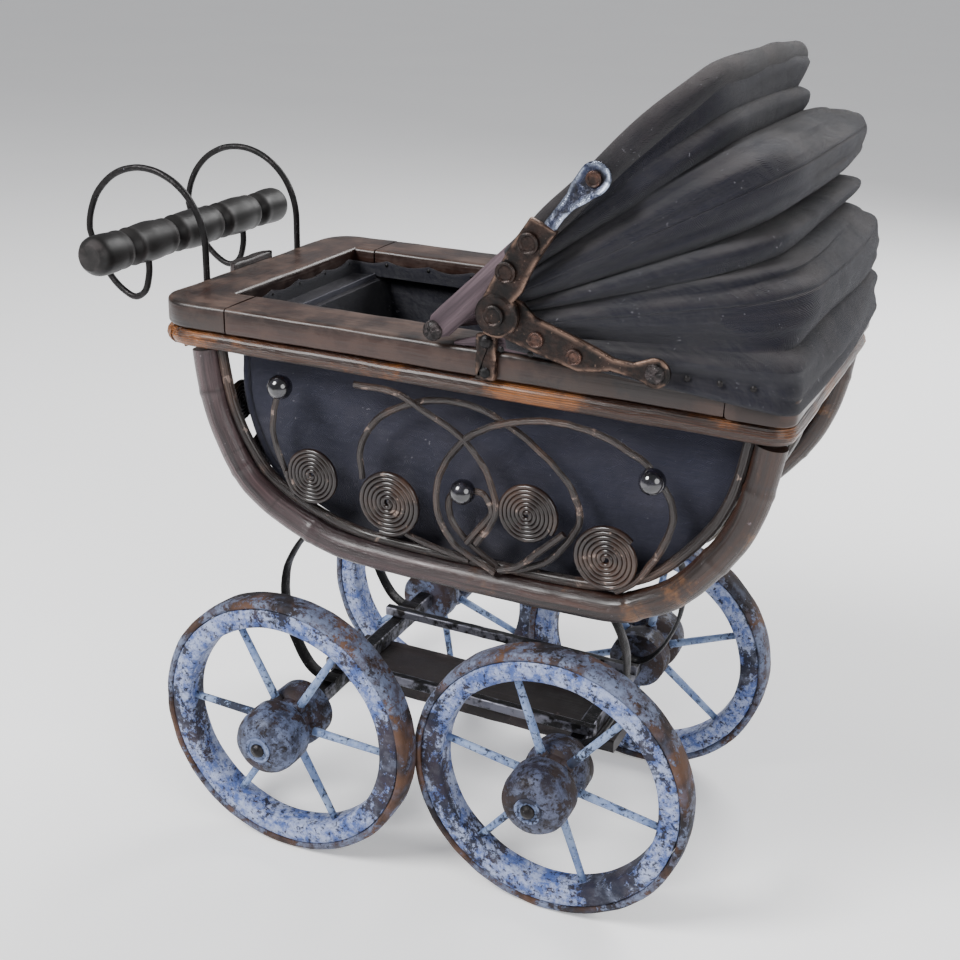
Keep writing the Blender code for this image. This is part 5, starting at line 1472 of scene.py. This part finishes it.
def landau_irons():
    """Jointed irons on both sides: a riveted plate with a bright twisted arm above, a riveted plate below."""
    big = head_object("big_rivet", ring_rivet(0.0033, 0.0013), 28)
    small = head_object("small_rivet", ring_rivet(0.0025, 0.0011), 24)
    top_plate = [(41.3, 244.5), (49.4, 241.1), (45.6, 235.2), (42.3, 229.4), (39.6, 222.9)]
    elbow_disc = arc((31.7, 215.4), 6.9, 40, -122, 12)
    left = [(25.8, 216.6), (29.2, 223.6), (32.3, 229.6), (35.4, 235.5)]
    top_outline = [(x / 1000, z / 1000) for x, z in top_plate + elbow_disc + left]
    head = arc((59.1, 256.6), 4.7, 150, -75, 12)
    arm = [(43.6, 239.0), (44.9, 243.6), (47.6, 247.4), (50.6, 251.4), (52.4, 255.0)] + head
    arm += [(57.6, 250.2), (54.0, 248.0), (51.0, 244.8), (48.6, 241.4), (46.6, 238.0)]
    arm_outline = [(x / 1000, z / 1000) for x, z in arm]
    low_head = arc((79.5, 204.5), 4.4, -135, 105, 12)
    low = [(25.6, 212.6), (30.5, 209.0), (37.0, 206.9), (46.5, 204.2), (56.5, 201.6), (61.5, 202.2),
           (66.5, 203.2), (72.5, 202.4)] + low_head
    low += [(73.0, 206.6), (67.5, 207.0), (61.5, 209.4), (50.5, 213.0), (43.0, 215.4), (38.8, 219.2),
            (33.0, 221.6), (27.0, 219.0)]
    low_outline = [(x / 1000, z / 1000) for x, z in low]
    upper_rivets = ((0.0412, 0.2372), (0.0347, 0.2282))
    lower_rivets = ((0.0436, 0.2091), (0.0555, 0.2058))
    for side, hand in SIDES.items():
        upper, lower = f"landau_upper_{side}", f"landau_lower_{side}"

        def facing(x, y, z, size=1.0, twist=0.0):
            return ((x, y, z), (0, hand, 0), size, twist)

        def faces(plate):
            return hand * (IRON_Y + plate[0]), hand * (IRON_Y + plate[1])

        for name, outline, plate, body, rivets, head, look in (
                ("lower", low_outline, LOWER_PLATE, lower, lower_rivets, small, COPPER),
                ("upper", top_outline, UPPER_PLATE, upper, upper_rivets, big, BRONZE_IRON)):
            inner, outer = faces(plate)
            shape = flat_iron(Shape(), outline, inner, outer).wobble(0.00016, 210.0)
            show(f"landau_{name}_plate_{side}", shape.mesh(name, BRONZE_IRON), body,
                 [f"landau_iron_{name}_{side}"])
            heads(f"{name}_rivets_{side}", body, head, look,
                  [facing(x, outer - hand * 0.0001, z) for x, z in rivets])
        shape = flat_iron(Shape(), arm_outline, *faces(ARM_PLATE), 0.0005)
        for k, point in enumerate(shape.points):
            along = (point.z - 0.2405) / 0.016
            if 0 < along < 1:
                lean = math.sin(math.pi * along) * 0.0022
                off_line = point.x - (0.0470 + along * 0.0120)
                shape.points[k] = point + Vector((0, hand * lean * (off_line / 0.004), 0))
        shape.wobble(0.00018, 260.0)
        show(f"landau_upper_arm_{side}", shape.mesh("arm", BRIGHT_STEEL), upper)
        disc = Shape().lathe([(0.0, 0.0009), (0.0055, 0.0008), (0.0062, 0.0), (0.0, 0.0)], (0, 0, 0), "Z", 36)
        elbow = Matrix.Translation((ELBOW[0], outer, ELBOW[1])) @ spin_to((0, hand, 0))
        boss = disc.moved(elbow).wobble(0.00014, 240.0)
        show(f"elbow_boss_{side}", boss.mesh("boss", BRONZE_IRON), upper)
        heads(f"elbow_rivet_{side}", lower, big, BRONZE_IRON,
              [facing(ELBOW[0], outer + hand * 0.0007, ELBOW[1])], [f"landau_rivet_{side}"])
        heads(f"upper_eye_screw_{side}", upper, small, COPPER,
              [facing(UPPER_EYE[0], hand * (IRON_Y + 0.0030), UPPER_EYE[1], 0.95, 0.4)])


def small_irons():
    """Straps, screws and tacks on the body."""
    cross = head_object("cross_screw", [(0.0, 0.0014), (0.0014, 0.0013), (0.0024, 0.0009), (0.0030, 0.0003),
                                        (0.0031, 0.0), (0.0, 0.0)], 36, True)
    dome = head_object("domed_nail", [(0.0, 0.0011), (0.0009, 0.0010), (0.0016, 0.0006), (0.0019, 0.0),
                                      (0.0, 0.0)], 20)
    tack = head_object("tack", [(0.0, 0.00055), (0.0005, 0.0005), (0.0009, 0.00025), (0.0011, 0.0),
                                (0.0, 0.0)], 12)
    for side, hand in SIDES.items():
        low, high = box(f"rim_strap_{side}")
        inner, outer = (low.y, high.y) if hand > 0 else (high.y, low.y)
        face = outer + hand * 0.0004
        tall = high.z - low.z
        outline = [(low.x, low.z + 0.0006), (low.x + 0.0008, low.z), (high.x - 0.0008, low.z),
                   (high.x, low.z + 0.0006)]
        outline += [(high.x, low.z + tall * k / 8) for k in range(1, 8)]
        outline += [(high.x, high.z - 0.0006), (high.x - 0.0008, high.z), (low.x + 0.0008, high.z),
                    (low.x, high.z - 0.0006)]
        outline += [(low.x, high.z - tall * k / 8) for k in range(1, 8)]
        shape = flat_iron(Shape(), outline, inner, face).wobble(0.0005, 420.0)
        show(f"pressed_strap_{side}", shape.mesh("strap", BRONZE_IRON), "pram_body", [f"rim_strap_{side}"])
        x = (low.x + high.x) / 2
        heads(f"strap_nails_{side}", "pram_body", dome, BLACK_IRON,
              [((x, face, high.z - 0.0024), (0, hand, 0), 1.15, 0.0),
               ((x, face, low.z + 0.0026), (0, hand, 0), 0.95, 0.0)])
        heads(f"lower_eye_screw_{side}", "pram_body", cross, SCREW_IRON,
              [((LOWER_EYE[0], hand * (IRON_Y + LOWER_PLATE[1]), LOWER_EYE[1]), (0, hand, 0), 0.95, 0.5)],
              [f"landau_screw_{side}"])
        heads(f"hood_screw_{side}", "pram_body", cross, SCREW_IRON,
              [((PIVOT_X, hand * (FRONT_LEG_Y + 0.0030), PIVOT_Z), (0, hand, 0), 1.05, 0.6)],
              [f"hood_pivot_{side}"])
    rows = []
    loop = tub_loop(HANDLE_X + (RIM_OUT - RIM_IN) + LINING_GAP, box("rim_board_hood_end")[0].x - LINING_GAP,
                    RIM_IN - LINING_GAP, 0.003, TUB_POINTS)
    for j in range(0, TUB_POINTS, 6):
        x, y = loop[j]
        if abs(y) > RIM_IN - 0.001:
            rows.append(((x, y * 0.995, RIM_TOP - 0.0052), (0, -1 if y > 0 else 1, 0), 0.8, 0.0))
        elif abs(y) < RIM_IN - 0.003:
            rows.append(((x, y, RIM_TOP - 0.0052), (1 if x < 0 else -1, 0, 0), 0.8, 0.0))
    heads("lining_tacks", "pram_body", tack, BLACK_IRON, rows)
    rows = [((0.030 + 0.0095 * k, hand * 0.0636, RIM_TOP + 0.0022), (0, hand, 0), 0.9, 0.0)
            for k in range(9) for hand in SIDES.values()]
    heads("hood_edge_tacks", "pram_body", tack, BLACK_IRON, rows)


# ---------------------------------------------------------------- push bar
def push_bar():
    """A turned bar with soft swellings, hung in two curled wire hoops."""
    low, high = box("push_bar")
    centre = Vector(((low.x + high.x) / 2, 0, (low.z + high.z) / 2))
    full = (high.z - low.z) / 2
    half = high.y
    rings = (0.0400, 0.0142)                        # grooves, from the bar's middle
    swell_at, swell_long, swell_by = 0.0271, 0.0258, 0.0008
    lip_at, lip_half, lip_high = 0.0034, 0.0012, 0.0004
    groove_half, groove_deep = 0.0013, 0.0018
    end_long, end_deep, end_worn = 0.0038, 0.0022, 0.0024
    count, steps = 96, 40

    def lip(y, ring):
        return math.exp(-((abs(abs(y) - ring) - lip_at) / lip_half) ** 2)

    profile = []
    for i in range(count + 1):
        y = half - 2 * half * i / count
        swell = 0.5 - 0.5 * math.cos(2 * math.pi * (abs(y) - swell_at) / swell_long)
        radius = full - 0.0003 - swell_by * swell
        for ring in rings:
            radius += lip_high * lip(y, ring)
            radius -= groove_deep * math.exp(-(abs(abs(y) - ring) / groove_half) ** 2)
        radius -= end_deep * max(0.0, 1 - (half - abs(y)) / end_long) ** 2
        profile.append((radius, y))
    profile = [(0.0, half)] + profile + [(0.0, -half)]
    shape = Shape().lathe(profile, centre, steps=steps)
    for k in range(len(shape.points)):
        row = k // steps
        if 0 < row < len(profile) - 1:
            y = profile[row][1]
            shape.marks[k] = max(lip(y, ring) for ring in rings)
            shape.marks[k] = max(shape.marks[k], 1.0 if half - abs(y) < end_worn else 0.0)
    shape.wobble(0.00030, 90.0)
    for j, face in enumerate(shape.coords):
        shape.coords[j] = [(a * 0.0012, 0.0465 * b / 40) if len(face) == 4 else (0, 0) for a, b in face]
    show("turned_push_bar", shape.mesh("bar", BAR_WOOD), "pram_body", ["push_bar"])
    for side in SIDES:
        low, high = box(f"handle_hoop_{side}")
        wire = 0.0012
        y = (low.y + high.y) / 2
        hoop_x, hoop_z, radius = -0.1235, 0.2115, 0.0252
        foot_x = high.x - wire
        lift = math.degrees(math.acos((foot_x - hoop_x) / radius))
        end_x = centre.x + 0.0022
        curl = [(hoop_x - radius, hoop_z - 0.0010), (hoop_x - 0.70 * radius, hoop_z - 0.58 * radius),
                (hoop_x - 0.34 * radius, hoop_z - 0.85 * radius),
                (hoop_x - 0.10 * radius, hoop_z - 0.78 * radius),
                (end_x, centre.z - full - 0.0040), (end_x, centre.z - full + 0.0042)]
        run = [(foot_x, RIM_UNDER + 0.0008)] + arc((hoop_x, hoop_z), radius, -lift, 178, 44)
        run += [(p.x, p.y) for p in flow(curl, 7)[1:]]
        shape = Shape().tube([(x, y, z) for x, z in run], wire, 12, up=(0, 1, 0)).wobble(0.00012, 160.0)
        show(f"wire_hoop_{side}", shape.mesh("hoop", BLACK_IRON), "pram_body", [f"handle_hoop_{side}"])


def end_block():
    """The small rounded block behind the middle of the push-bar end board."""
    half, deep, drawn_in = 0.0125, 0.0044, 0.0030
    ys = [-half + 2 * half * i / 16 for i in range(17)]
    outer = [(HANDLE_X - deep + drawn_in * (abs(y) / half) ** 6, y) for y in ys]
    inner = [(HANDLE_X - 0.0001, y) for y in ys]
    shape = Shape().board(outer, inner, RIM_UNDER + 0.0006, RIM_TOP + 0.0018, 0.0014).wobble(0.0003, 160.0)
    show("end_block", shape.mesh("block", PLANK_WOOD), "pram_body")


def base_rail():
    """The lath on the rim that the hood canvas is tacked to, tapered to its tips."""
    low, high = box("hood_base_rail")
    shape = Shape()
    turn = HOOD_BEND
    mid_y = RIM_OUT - 0.0023
    end = high.x - 0.0020
    half = [(low.x + (end - turn - low.x) * i / 30, mid_y) for i in range(30)]
    half += arc((end - turn, mid_y - turn), turn, 90, 0, 6)
    line = [(x, -y) for x, y in half] + half[::-1]
    rows = []
    for x, y in line:
        rise = 0.0060 * min(1.0, 0.2 + 0.8 * (x - low.x) / 0.0160)
        rows.append(((x, y), rise))
    outline = []
    for k, ((x, y), rise) in enumerate(rows):
        a, b = Vector(rows[max(0, k - 1)][0]), Vector(rows[min(len(rows) - 1, k + 1)][0])
        run = (b - a).normalized()
        away = Vector((run.y, -run.x)) * 0.0018
        ring = []
        for q in range(12):
            turn_q = 2 * math.pi * q / 12
            c, s = math.cos(turn_q), math.sin(turn_q)
            c = math.copysign(abs(c) ** 0.6, c)
            s = math.copysign(abs(s) ** 0.6, s)
            ring.append((x + away.x * c, y + away.y * c, low.z + rise / 2 + s * rise / 2))
        outline.append(ring)
    first = shape.grid(outline, closed=True, coords=lambda i, j: (i * 0.0033, j * 0.0015))
    shape.cap(first, 12, flip=True)
    shape.cap(first + (len(outline) - 1) * 12, 12)
    shape.wobble(0.0002, 150.0)
    show("hood_lath", shape.mesh("lath", BOW_WOOD), "pram_body", ["hood_base_rail"])


# ---------------------------------------------------------------- studio
def studio():
    """A pale floor, three soft lights and the camera."""
    floor_mesh = bpy.data.meshes.new("floor")
    wide = 16.0
    corners = [(-wide, -wide, 0), (wide, -wide, 0), (wide, wide, 0), (-wide, wide, 0)]
    floor_mesh.from_pydata(corners, [], [(0, 1, 2, 3)])
    floor_mesh.materials.append(floor_look())
    floor = placed("floor", floor_mesh)
    world = bpy.data.worlds.new("pale_room")
    world.use_nodes = True
    world.node_tree.nodes["Background"].inputs["Color"].default_value = (0.95, 0.96, 1.0, 1)
    world.node_tree.nodes["Background"].inputs["Strength"].default_value = 0.34
    bpy.context.scene.world = world
    lamps = (
        ("key", (-0.55, -0.75, 0.95), (0.0, 0.0, 0.10), 0.50, 22.0),
        ("fill", (0.95, -0.55, 0.60), (0.03, 0.0, 0.12), 0.80, 8.0),
        ("back", (0.25, 0.85, 0.80), (0.02, 0.0, 0.12), 0.70, 13.0),
    )
    for name, place, aim, size, power in lamps:
        light = bpy.data.lights.new(name, "AREA")
        light.shape = "DISK"
        light.size = size
        light.energy = power
        lamp = placed(name, light)
        lamp.location = place
        lamp.rotation_euler = (Vector(place) - Vector(aim)).to_track_quat("Z", "Y").to_euler()
    camera_data = bpy.data.cameras.new("camera")
    camera_data.lens = 50.98
    camera_data.sensor_width = 36.0
    camera = placed("camera", camera_data)
    around, lift, roll = math.radians(23.99), math.radians(22.14), math.radians(1.76)
    ahead = Vector((-math.sin(around) * math.cos(lift), math.cos(around) * math.cos(lift), -math.sin(lift)))
    right = Vector((math.cos(around), math.sin(around), 0))
    above = right.cross(ahead)
    across = right * math.cos(roll) + above * math.sin(roll)
    upward = above * math.cos(roll) - right * math.sin(roll)
    stand = Matrix((across, upward, -ahead)).transposed().to_4x4()
    stand.translation = Vector((MIDDLE_X + 0.18295, -0.41955, 0.31824))
    camera.matrix_world = stand
    bpy.context.scene.camera = camera


wheel_pieces()
axle_pieces()
running_gear()
springs()
side_poles()
scrollwork()
end_ribs()
rim_boards()
cane_band()
tub()
hood_sticks()
hood()
landau_irons()
small_irons()
push_bar()
end_block()
base_rail()
studio()
